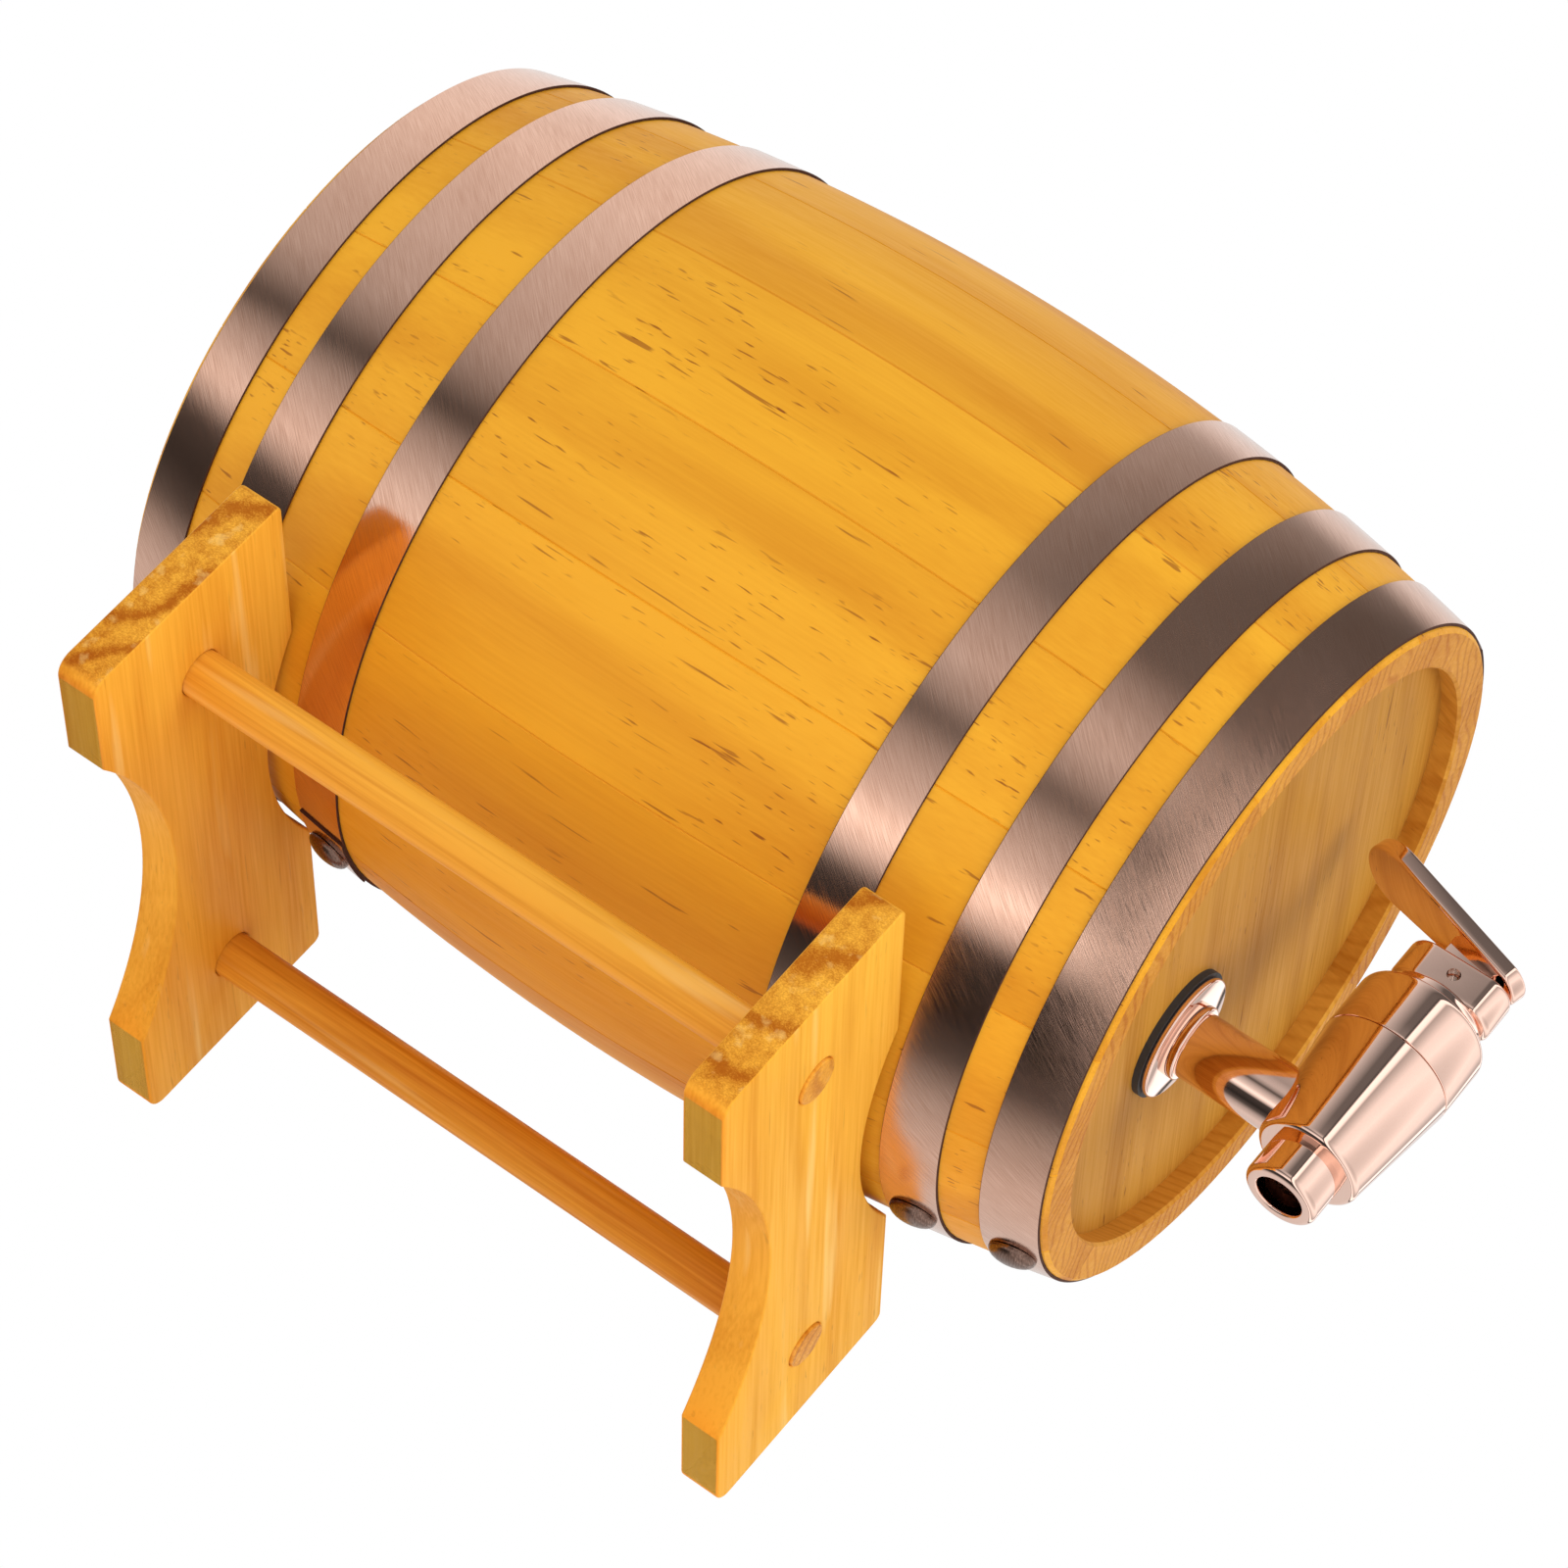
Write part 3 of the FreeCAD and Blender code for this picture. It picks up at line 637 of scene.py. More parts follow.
def finish_mesh(work: bmesh.types.BMesh, name: str) -> Mesh:
    """Merges doubles, drops empty faces and points normals outwards.

    Args:
        work: the mesh being built, which is freed.
        name: the finished mesh's name.

    Returns:
        The finished mesh, smooth-shaded.
    """
    merge_distance, empty_length = 1e-6, 1e-7
    bmesh.ops.remove_doubles(work, verts=work.verts, dist=merge_distance)
    bmesh.ops.dissolve_degenerate(work, edges=work.edges, dist=empty_length)
    bmesh.ops.recalc_face_normals(work, faces=work.faces)
    mesh = bpy.data.meshes.new(name)
    work.to_mesh(mesh)
    work.free()
    return smooth(mesh)


def bridge(work: bmesh.types.BMesh, rings: list[list[bmesh.types.BMVert]], round_trip: bool,
           closed: bool = True, slots: list[int] | None = None) -> None:
    """Fills the space between neighbouring rings of points with four-sided faces.

    Args:
        work: the mesh being built.
        rings: the rings, with their points in the same order.
        round_trip: whether the last ring joins the first.
        closed: whether the last point of a ring joins its first.
        slots: the material slot of each stretch of a ring, or None for the first slot everywhere.
    """
    pairs = list(zip(rings, rings[1:]))
    if round_trip:
        pairs.append((rings[-1], rings[0]))
    count = len(rings[0])
    for here, there in pairs:
        for number in range(count if closed else count - 1):
            after = (number + 1) % count
            face = work.faces.new((here[number], here[after], there[after], there[number]))
            face.material_index = slots[number] if slots else 0


def lathe(name: str, profile: list[Point], steps: int = 128, closed: bool = True) -> Mesh:
    """Turns a profile about Z.

    Args:
        name: the mesh's name.
        profile: (radius, height) points in order.
        steps: how many stretches a full turn is cut into.
        closed: whether the last point joins the first.

    Returns:
        A closed mesh with outward normals.
    """
    work = bmesh.new()
    rings = []
    for step in range(steps):
        turn = 2 * math.pi * step / steps
        rings.append([work.verts.new((r * math.cos(turn), r * math.sin(turn), h)) for r, h in profile])
    bridge(work, rings, round_trip=True, closed=closed)
    return finish_mesh(work, name)


def plate(name: str, outlines: list[list[Point]], thick: float, edge: float) -> Mesh:
    """A flat plate with rounded edges, standing on its middle plane z = 0.

    Args:
        name: the mesh's name.
        outlines: the outer outline, then any holes.
        thick: its thickness.
        edge: the rounding of its edges.

    Returns:
        The mesh.
    """
    curve = bpy.data.curves.new(name, "CURVE")
    curve.dimensions = "2D"
    curve.fill_mode = "BOTH"
    curve.extrude = thick / 2 - edge
    curve.bevel_depth = edge
    curve.bevel_resolution = 3
    curve.offset = -edge
    for outline in outlines:
        spline = curve.splines.new("POLY")
        spline.points.add(len(outline) - 1)
        for point, (x, y) in zip(spline.points, outline):
            point.co = (x, y, 0.0, 1.0)
        spline.use_cyclic_u = True
    holder = bpy.data.objects.new(name, curve)
    mesh = plain_mesh(holder)
    bpy.data.objects.remove(holder)
    work = bmesh.new()
    work.from_mesh(mesh)
    return finish_mesh(work, name)


def plain_mesh(holder: bpy.types.Object) -> Mesh:
    """Evaluates an object with its modifiers.

    Args:
        holder: the object, which is put in the scene if it isn't there.

    Returns:
        The result as a plain mesh.
    """
    if holder.name not in bpy.context.scene.collection.objects:
        bpy.context.scene.collection.objects.link(holder)
    bpy.context.view_layer.update()
    evaluated = holder.evaluated_get(bpy.context.evaluated_depsgraph_get())
    return bpy.data.meshes.new_from_object(evaluated)


def cut(mesh: Mesh, cutters: list[Mesh]) -> Mesh:
    """Cuts closed meshes out of another.

    Args:
        mesh: the mesh that is cut.
        cutters: the meshes that are taken away.

    Returns:
        The new mesh.
    """
    holder = bpy.data.objects.new("cut_target", mesh)
    helpers = []
    for cutter in cutters:
        helper = bpy.data.objects.new("cutter", cutter)
        bpy.context.scene.collection.objects.link(helper)
        modifier = holder.modifiers.new("cut", "BOOLEAN")
        modifier.operation = "DIFFERENCE"
        modifier.solver = "EXACT"
        modifier.object = helper
        helpers.append(helper)
    result = plain_mesh(holder)
    for item in (holder, *helpers):
        bpy.data.objects.remove(item)
    return smooth(result)


def join(name: str, meshes: list[Mesh]) -> Mesh:
    """Joins separate shells into one mesh.

    Args:
        name: the mesh's name.
        meshes: the shells.

    Returns:
        The joined mesh.
    """
    work = bmesh.new()
    for mesh in meshes:
        work.from_mesh(mesh)
    mesh = bpy.data.meshes.new(name)
    work.to_mesh(mesh)
    work.free()
    return smooth(mesh)


def scatter(points: Mesh, shape: Mesh, finish: Material) -> Mesh:
    """Sets copies of a shape on points, each turned by the point's facing attribute.

    Args:
        points: a mesh of loose points.
        shape: the mesh that is repeated.
        finish: its material.

    Returns:
        One plain mesh.
    """
    group = bpy.data.node_groups.new("set_on_points", "GeometryNodeTree")
    sockets = {}
    for label, kind in (("Geometry", "NodeSocketGeometry"), ("Shape", "NodeSocketObject"),
                        ("Finish", "NodeSocketMaterial"), ("Scale", NUMBER)):
        sockets[label] = group.interface.new_socket(name=label, in_out="INPUT", socket_type=kind)
    group.interface.new_socket(name="Geometry", in_out="OUTPUT", socket_type="NodeSocketGeometry")
    tree = Tree(group)
    given = tree.add("NodeGroupInput").outputs
    seats = tree.add("GeometryNodeMeshToPoints")
    tree.feed(seats.inputs["Mesh"], given["Geometry"])
    model = tree.add("GeometryNodeObjectInfo")
    tree.feed(model.inputs["Object"], given["Shape"])
    facing = tree.add("GeometryNodeInputNamedAttribute", data_type="FLOAT_VECTOR")
    facing.inputs["Name"].default_value = "facing"
    turned = tree.add("FunctionNodeEulerToRotation")
    tree.feed(turned.inputs[0], facing.outputs["Attribute"])
    copies = tree.add("GeometryNodeInstanceOnPoints")
    tree.feed(copies.inputs["Points"], seats.outputs[0])
    tree.feed(copies.inputs["Instance"], model.outputs["Geometry"])
    tree.feed(copies.inputs["Rotation"], turned.outputs[0])
    tree.feed(copies.inputs["Scale"], given["Scale"])
    real = tree.add("GeometryNodeRealizeInstances")
    tree.feed(real.inputs[0], copies.outputs[0])
    painted = tree.add("GeometryNodeSetMaterial")
    tree.feed(painted.inputs["Geometry"], real.outputs[0])
    tree.feed(painted.inputs["Material"], given["Finish"])
    tree.feed(tree.add("NodeGroupOutput").inputs[0], painted.outputs[0])
    model_holder = bpy.data.objects.new("repeated_shape", shape)
    bpy.context.scene.collection.objects.link(model_holder)
    holder = bpy.data.objects.new("seats", points)
    modifier = holder.modifiers.new("set_on_points", "NODES")
    modifier.node_group = group
    modifier[sockets["Shape"].identifier] = model_holder
    modifier[sockets["Finish"].identifier] = finish
    modifier[sockets["Scale"].identifier] = 1.0
    mesh = plain_mesh(holder)
    bpy.data.objects.remove(holder)
    bpy.data.objects.remove(model_holder)
    return mesh


# Putting pieces in the scene


def give_tone(mesh: Mesh, tone: float) -> None:
    """Stores a piece's own tone, from 0 to 1, which its wood reads."""
    attribute = mesh.attributes.new("tone", "FLOAT", "POINT")
    attribute.data.foreach_set("value", [tone] * len(mesh.vertices))


def show(name: str, mesh: Mesh, finishes: list[Material], body: str,
         nodes: list[str]) -> bpy.types.Object:
    """Puts a finished mesh in the scene.

    Args:
        name: the piece's name.
        mesh: its mesh, already in place.
        finishes: its materials in slot order.
        body: the CAD body that carries it.
        nodes: the CAD nodes that it stands for.

    Returns:
        The piece.
    """
    mesh.name = name
    while len(mesh.materials) < len(finishes):
        mesh.materials.append(None)
    for number, finish in enumerate(finishes):
        mesh.materials[number] = finish
    piece = bpy.data.objects.new(name, mesh)
    bpy.context.scene.collection.objects.link(piece)
    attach(piece, body)
    if nodes:
        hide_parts(*nodes)
    LOG.info("%s: %d faces on %s", name, len(mesh.polygons), body)
    return piece


def dress(node: str, finish: Material, tone: float | None = None) -> None:
    """Gives a carried-over CAD node its finish in every slot, leaving its shape alone.

    Args:
        node: the CAD node's name.
        finish: its material.
        tone: its own tone, from 0 to 1, where it is of wood.
    """
    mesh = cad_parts[node].data
    mesh.materials.clear()
    mesh.materials.append(finish)
    if tone is not None:
        give_tone(mesh, tone)
    LOG.info("%s: carried over with %s", node, finish.name)


# The cask


@dataclass
class Cask:
    """Staves, hoops, rivets and bung. Hoops' angles are degrees from the top towards -X."""

    length: float = 238.0 * MM
    belly_radius: float = 91.1 * MM
    end_radius: float = 77.5 * MM
    stave_thick: float = 9.0 * MM
    stave_count: int = 16
    stave_seed: int = 11
    stave_tones: Point = (0.25, 0.75)
    long_steps: int = 56
    inner_steps: int = 12
    head_recess: float = 5.5 * MM
    head_thick: float = 8.0 * MM
    croze_depth: float = 3.1 * MM
    seam_bevel: float = 0.3 * MM
    rim_round: float = 0.7 * MM
    hoop_width: float = 12.7 * MM
    hoop_thick: float = 0.6 * MM
    hoop_play: float = 0.05 * MM
    hoop_edge: float = 0.12 * MM
    hoop_steps: int = 240
    hoop_back: dict[str, float] = field(
        default_factory=lambda: {"end": 7.5 * MM, "quarter": 29.35 * MM, "bilge": 59.0 * MM})
    lap_thick: float = 0.5 * MM
    lap_steps: int = 24
    front_lap: Point = (-12.5, 18.0)
    rear_lap: Point = (189.0, 203.0)
    lap_rivets: Point = (12.7, -7.2)
    low_rivet: float = 196.0
    rivet_radius: float = 5.2 * MM
    rivet_height: float = 2.6 * MM
    rivet_rim: float = 0.35 * MM
    rivet_sharp: float = 50.0
    bung_radius: float = 10.08 * MM
    bung_taper: float = 0.08
    bung_edge: float = 1.0 * MM
    bung_tone: float = 0.4
    bung_hole_span: Point = (-15.0 * MM, 10.0 * MM)

    def __post_init__(self) -> None:
        """Works out the places that follow from the sizes and from the frame."""
        self.half = self.length / 2
        bulge = self.belly_radius - self.end_radius
        self.bend = (self.half**2 + bulge**2) / (2 * bulge)
        low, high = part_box("rear_head")
        self.height = (low.z + high.z) / 2
        low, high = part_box("stave_01")
        self.middle = (low.y + high.y) / 2

    def radius(self, along: float, offset: float = 0.0) -> float:
        """Radius of the surface offset outside the staves at a distance along the axis."""
        return math.sqrt((self.bend + offset)**2 - along**2) - (self.bend - self.belly_radius)

    def spot(self, turn: float, along: float, reach: float) -> Triple:
        """A place, by its turn from the top towards +X, its distance along the axis and its radius."""
        return (reach * math.sin(turn), along + self.middle, reach * math.cos(turn) + self.height)

    def stave_profile(self) -> list[tuple[float, float, bool]]:
        """Section of a stave.

        Returns:
            (along, radius, whether it is on the outer face) points in order.
        """
        outer = []
        for step in range(self.long_steps + 1):
            along = -self.half + self.length * step / self.long_steps
            drop = self.rim_round if step in (0, self.long_steps) else 0.0
            outer.append((along, self.radius(along) - drop, True))
        eased = self.half - self.rim_round
        outer.insert(1, (-eased, self.radius(eased), True))
        outer.insert(-1, (eased, self.radius(eased), True))
        head_outer = self.half - self.head_recess
        head_inner = head_outer - self.head_thick
        wall = -self.stave_thick
        croze = self.radius(head_outer, wall) + self.croze_depth
        end = [(self.half, self.radius(self.half, wall) + self.rim_round, False),
               (eased, self.radius(eased, wall), False), (head_outer, self.radius(head_outer, wall), False),
               (head_outer, croze, False), (head_inner, croze, False)]
        inner = []
        for step in range(self.inner_steps + 1):
            along = head_inner - 2 * head_inner * step / self.inner_steps
            inner.append((along, self.radius(along, wall), False))
        other = [(-along, radius, flag) for along, radius, flag in reversed(end)]
        return outer + end + inner + other

    def stave_mesh(self, number: int) -> Mesh:
        """One stave, bevelled along its two outer seams.

        Args:
            number: its number, counted from 0 at the top.

        Returns:
            The mesh, with all but its outer face in the second material slot.
        """
        profile = self.stave_profile()
        half_turn = math.pi / self.stave_count
        inset = half_turn - self.seam_bevel / self.belly_radius
        between = [inset * (-0.66 + 0.33 * step) for step in range(5)]
        middle = 2 * math.pi * number / self.stave_count
        work = bmesh.new()
        rings = []
        for turn in [-half_turn, -inset, *between, inset, half_turn]:
            bevel = self.seam_bevel if abs(turn) == half_turn else 0.0
            ring = []
            for along, radius, outside in profile:
                reach = radius - bevel if outside else radius
                ring.append(work.verts.new(self.spot(middle + turn, along, reach)))
            rings.append(ring)
        flags = [outside for _, _, outside in profile]
        slots = [0 if here and there else 1 for here, there in zip(flags, flags[1:] + flags[:1])]
        bridge(work, rings, round_trip=False, slots=slots)
        work.faces.new(rings[0])
        work.faces.new(rings[-1])
        return finish_mesh(work, f"stave_{number + 1:02d}")

    def bung_hole(self) -> Mesh:
        """The tapered cutter for the filling hole.

        Returns:
            Its mesh, in place.
        """
        profile = [(self.bung_radius + self.bung_taper * height, height) for height in self.bung_hole_span]
        low, high = self.bung_hole_span
        mesh = lathe("bung_hole", [(0.0, low), *profile, (0.0, high)], 64, closed=False)
        mesh.transform(Matrix.Translation((0.0, self.middle, self.height + self.belly_radius)))
        return mesh

    def build_staves(self, face: Material, chime: Material) -> None:
        """Builds the staves, each with its own tone.

        Args:
            face: the finish of their outer faces.
            chime: the finish of their ends and inner faces.
        """
        draw = random.Random(self.stave_seed)
        for number in range(self.stave_count):
            mesh = self.stave_mesh(number)
            if number == 0:
                mesh = cut(mesh, [self.bung_hole()])
            give_tone(mesh, draw.uniform(*self.stave_tones))
            node = f"stave_{number + 1:02d}"
            show(node + "_wood", mesh, [face, chime], "cask", [node])

    def build_hoops(self, copper: Material, edge: Material) -> None:
        """Builds the six bands, each with its lap over the joint and its dark cut edges.

        Args:
            copper: the bands' finish.
            edge: the finish of their cut edges.
        """
        for side, end_name, turns in ((-1, "front", self.front_lap), (1, "rear", self.rear_lap)):
            for name, back in self.hoop_back.items():
                node = f"hoop_{end_name}_{name}"
                along = side * (self.half - back)
                band = self.band_mesh(along, self.hoop_play, self.hoop_thick, None)
                lap = self.band_mesh(along, self.hoop_play + self.hoop_thick, self.lap_thick, turns)
                show(node + "_band", join(node, [band, lap]), [copper, edge], "cask", [node])

    def band_mesh(self, along: float, base: float, thick: float, turns: Point | None) -> Mesh:
        """A band bent to the staves' curve.

        Args:
            along: its middle along the cask.
            base: how far its inner face lies outside the staves.
            thick: its thickness.
            turns: its first and last angle, or None for a full ring.

        Returns:
            The mesh, with its cut edges in the second material slot.
        """
        half, edge = self.hoop_width / 2, self.hoop_edge
        profile = []
        for step in (-half, -half + edge, -half / 2, 0.0, half / 2, half - edge, half):
            at_edge = abs(step) == half
            offset = base + thick - (edge if at_edge else 0.0)
            profile.append((along + step, self.radius(along + step, offset), at_edge))
        for step in (half, -half):
            profile.append((along + step, self.radius(along + step, base), True))
        whole = turns is None
        first, last = turns or (0.0, 360.0)
        steps = self.hoop_steps if whole else self.lap_steps
        work = bmesh.new()
        rings = []
        for step in range(steps if whole else steps + 1):
            turn = math.radians(first + (last - first) * step / steps)
            rings.append([work.verts.new(self.spot(-turn, place, radius)) for place, radius, _ in profile])
        flags = [at_edge for _, _, at_edge in profile]
        slots = [1 if here or there else 0 for here, there in zip(flags, flags[1:] + flags[:1])]
        bridge(work, rings, round_trip=whole, slots=slots)
        if not whole:
            for ring in (rings[0], rings[-1]):
                work.faces.new(ring).material_index = 1
        return finish_mesh(work, "band")

    def rivet_mesh(self) -> Mesh:
        """One domed rivet head, a little flattened at its middle, standing on z = 0.

        Returns:
            The mesh.
        """
        rim, steps = self.rivet_rim, 7
        dome = [(0.0, 0.0), (self.rivet_radius, 0.0), (self.rivet_radius, rim)]
        for step in range(1, steps + 1):
            turn = math.radians(90.0 * step / steps)
            height = rim + (self.rivet_height - rim) * math.sin(turn)
            dome.append((self.rivet_radius * math.cos(turn), height))
        return lathe("rivet", dome, 32, closed=False)

    def build_rivets(self, bronze: Material) -> None:
        """Sets the rivets on the bands with a geometry node tree.

        Args:
            bronze: their finish.
        """
        seats = []
        for back in self.hoop_back.values():
            seats += [(back, -1, degrees, self.lap_thick) for degrees in self.lap_rivets]
            seats += [(back, -1, self.low_rivet, 0.0), (back, 1, self.low_rivet, self.lap_thick)]
        places, turns = [], []
        for back, side, degrees, lift in seats:
            along = side * (self.half - back)
            turn = math.radians(degrees)
            lean = math.asin(along / self.bend)
            reach = self.radius(along, self.hoop_play + self.hoop_thick + lift)
            places.append(self.spot(-turn, along, reach))
            facing = Matrix.Rotation(-turn, 3, "Y") @ Matrix.Rotation(-lean, 3, "X")
            turns.append(tuple(facing.to_euler()))
        points = bpy.data.meshes.new("rivet_seats")
        points.from_pydata(places, [], [])
        attribute = points.attributes.new("facing", "FLOAT_VECTOR", "POINT")
        attribute.data.foreach_set("vector", [value for turn in turns for value in turn])
        mesh = smooth(scatter(points, self.rivet_mesh(), bronze), self.rivet_sharp)
        show("hoop_rivet_heads", mesh, [bronze], "cask", ["hoop_rivets"])

    def build_bung(self, wood: Material) -> None:
        """Builds the tapered bung with its eased top edge.

        Args:
            wood: its finish.
        """
        low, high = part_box("bung")
        radius = (high.x - low.x) / 2
        narrow = radius - self.bung_taper * (high.z - low.z)
        edge = self.bung_edge
        profile = [(0.0, low.z), (narrow, low.z), (radius, high.z - edge)]
        profile += arc((radius - edge, high.z - edge), edge, 18, 90, 5) + [(0.0, high.z)]
        mesh = lathe("bung_plug", profile, 72, closed=False)
        mesh.transform(Matrix.Translation((0.0, self.middle, 0.0)))
        give_tone(mesh, self.bung_tone)
        show("bung_plug", mesh, [wood], "bung", ["bung"])


# The stand


@dataclass
class Stand:
    """The two end boards and the two rods between them, each with its tone."""

    width: float = 158.8 * MM
    height: float = 56.2 * MM
    thick: float = 9.8 * MM
    arch_half: float = 51.3 * MM
    arch_height: float = 16.0 * MM
    cradle_half: float = 36.7 * MM
    cradle_depth: float = 10.5 * MM
    foot_round: float = 4.0 * MM
    shoulder_round: float = 2.0 * MM
    edge: float = 0.55 * MM
    rod_radius: float = 5.2 * MM
    hole_play: float = 0.12 * MM
    rod_edge: float = 0.5 * MM
    boards: tuple[tuple[str, float], ...] = (("front_board", 0.35), ("rear_board", 0.7))
    rods: tuple[tuple[str, float], ...] = (("dowel_left", 0.2), ("dowel_right", 0.8))

    def outline(self) -> list[Point]:
        """The board's outline seen from the front, counted from the arch round to the arch.

        Returns:
            Its points.
        """
        half = self.width / 2
        arch_bend = (self.arch_half**2 + self.arch_height**2) / (2 * self.arch_height)
        arch_turn = math.degrees(math.asin(self.arch_half / arch_bend))
        cradle_bend = (self.cradle_half**2 + self.cradle_depth**2) / (2 * self.cradle_depth)
        cradle_turn = math.degrees(math.asin(self.cradle_half / cradle_bend))
        foot, shoulder, top = self.foot_round, self.shoulder_round, self.height
        points = arc((0.0, self.arch_height - arch_bend), arch_bend, 90 + arch_turn, 90 - arch_turn, 40)
        points += arc((half - foot, foot), foot, -90, 0, 8)
        points += arc((half - shoulder, top - shoulder), shoulder, 0, 90, 6)
        points += arc((0.0, top - self.cradle_depth + cradle_bend), cradle_bend,
                      270 + cradle_turn, 270 - cradle_turn, 32)
        points += arc((-half + shoulder, top - shoulder), shoulder, 90, 180, 6)
        points += arc((-half + foot, foot), foot, 180, 270, 8)
        return points

    def build_boards(self, wood: Material) -> None:
        """Builds both boards with their rod holes.

        Args:
            wood: their finish.
        """
        holes = []
        for node, _ in self.rods:
            low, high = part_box(node)
            centre = ((low.x + high.x) / 2, (low.z + high.z) / 2)
            holes.append(hole(centre, self.rod_radius + self.hole_play))
        for node, tone in self.boards:
            low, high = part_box(node)
            mesh = plate(node, [self.outline(), *holes], self.thick, self.edge)
            mesh.transform(Matrix.Translation((0.0, (low.y + high.y) / 2, 0.0)) @ FACE_FRONT)
            give_tone(mesh, tone)
            show(node + "_wood", mesh, [wood], "stand", [node])

    def build_rods(self, wood: Material) -> None:
        """Builds both rods, eased at their ends.

        Args:
            wood: their finish.
        """
        edge = self.rod_edge
        for node, tone in self.rods:
            low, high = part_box(node)
            half = (high.y - low.y) / 2
            profile = [(0.0, -half)] + arc((self.rod_radius - edge, -half + edge), edge, -90, 0, 4)
            profile += [(self.rod_radius, step * half / 3) for step in range(-2, 3)]
            profile += arc((self.rod_radius - edge, half - edge), edge, 0, 90, 4) + [(0.0, half)]
            mesh = lathe(node, profile, 64, closed=False)
            place = ((low.x + high.x) / 2, (low.y + high.y) / 2, (low.z + high.z) / 2)
            mesh.transform(Matrix.Translation(place) @ ONTO_Y)
            give_tone(mesh, tone)
            show(node + "_rod", mesh, [wood], "stand", [node])


# The tap


@dataclass
class Tap:
    """The polished tap. Its heights are counted from the shank's middle, on the tap's upright axis."""

    spout_radius: float = 8.4 * MM
    spout_bore: float = 5.4 * MM
    spout_reach: float = 18.9 * MM
    spout_lip: float = 1.5 * MM
    mouth_edge: float = 0.5 * MM
    floor: float = 9.3 * MM
    floor_thick: float = 3.0 * MM
    low_radius: float = 11.9 * MM
    low_edge: float = 1.4 * MM
    high_radius: float = 14.9 * MM
    seam: float = 18.6 * MM
    seam_edge: float = 0.35 * MM
    seam_gap: float = 0.12 * MM
    chamber: float = 9.5 * MM
    spigot: float = 4.0 * MM
    spigot_play: float = 0.1 * MM
    spigot_step: float = 0.02 * MM
    cap_height: float = 33.5 * MM
    cap_edge: float = 2.6 * MM
    cap_top: float = 37.5 * MM
    neck_radius: float = 7.6 * MM
    stem_bore: float = 2.5 * MM
    shank_bore: float = 3.8 * MM
    shank_start: float = 8.5 * MM
    shank_radius: float = 7.4 * MM
    shank_edge: float = 0.5 * MM
    collar_radius: float = 8.5 * MM
    collar_length: float = 2.2 * MM
    shank_reach: float = 35.5 * MM
    flange_radius: float = 14.0 * MM
    flange_thick: float = 1.6 * MM
    tail_radius: float = 6.0 * MM
    bonnet: Triple = (11.4 * MM, 24.0 * MM, 9.8 * MM)
    bonnet_round: float = 5.5 * MM
    bonnet_edge: float = 1.4 * MM
    mortise: Point = (5.4 * MM, 15.2 * MM)
    mortise_round: float = 0.6 * MM
    mortise_edge: float = 0.2 * MM
    pin_radius: float = 1.5 * MM
    pin_edge: float = 0.3 * MM
    pin_rise: float = 5.2 * MM
    pin_sunk: float = 2.4 * MM
    pin_play: float = 0.05 * MM
    pin_steps: int = 40
    web: Point = (5.0 * MM, 11.6 * MM)
    web_round: float = 4.2 * MM
    web_edge: float = 0.3 * MM
    web_slot: float = 1.2 * MM
    web_slot_edge: float = 0.02 * MM
    paddle_rise: float = 13.4 * MM
    paddle_thick: float = 4.0 * MM
    paddle_edge: float = 0.8 * MM
    paddle_tilt: float = 15.0
    tip: Point = (25.0 * MM, 8.0 * MM)
    heel: Point = (7.0 * MM, 5.0 * MM)

    def __post_init__(self) -> None:
        """Finds the tap's upright axis and its shank from the frame."""
        low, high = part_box("tap_spout")
        place = Vector((0.0, (low.y + high.y) / 2, low.z + self.spout_reach))
        self.seat = Matrix.Translation(place)
        self.tail_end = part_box("tap_body")[1].y - place.y

    def shell_mesh(self) -> Mesh:
        """The turned, tapered shell round the valve's chamber.

        Returns:
            The mesh.
        """
        floor, edge, rim = -self.floor, self.low_edge, self.seam_edge
        profile = [(self.spout_bore, floor), (self.low_radius - edge, floor)]
        profile += arc((self.low_radius - edge, floor + edge), edge, -80, 5, 6)
        profile += arc((self.high_radius - rim, self.seam - rim), rim, 5, 90, 4)
        profile += [(self.chamber, self.seam), (self.chamber, floor + self.floor_thick),
                    (self.spout_bore, floor + self.floor_thick)]
        return lathe("tap_shell", profile, 144)

    def shank_mesh(self) -> Mesh:
        """The shank with its collar, flange and tail, along +Y.

        Returns:
            The mesh.
        """
        collar = self.shank_reach - self.collar_length
        back = self.shank_reach + self.flange_thick
        rim = self.shank_edge
        profile = [(self.shank_bore, self.shank_start), (self.shank_radius, self.shank_start),
                   (self.shank_radius, collar)]
        profile += arc((self.collar_radius - rim, collar + rim), rim, -90, 0, 3)
        profile += [(self.collar_radius, self.shank_reach)]
        profile += arc((self.flange_radius - rim, self.shank_reach + rim), rim, -90, 0, 3)
        profile += arc((self.flange_radius - rim, back - rim), rim, 0, 90, 3)
        profile += [(self.tail_radius, back), (self.tail_radius, self.tail_end),
                    (self.shank_bore, self.tail_end)]
        mesh = lathe("tap_shank", profile, 96)
        mesh.transform(ONTO_Y)
        return mesh

    def spout_mesh(self) -> Mesh:
        """The spout with its softly rounded lip.

        Returns:
            The mesh.
        """
        mouth, lip, edge = -self.spout_reach, self.spout_lip, self.mouth_edge
        profile = [(self.spout_bore, -self.floor)]
        profile += arc((self.spout_bore + edge, mouth + edge), edge, 180, 270, 4)
        profile += arc((self.spout_radius - lip, mouth + lip), lip, -90, 0, 8)
        profile += [(self.spout_radius, -self.floor)]
        return lathe("tap_spout", profile, 128)

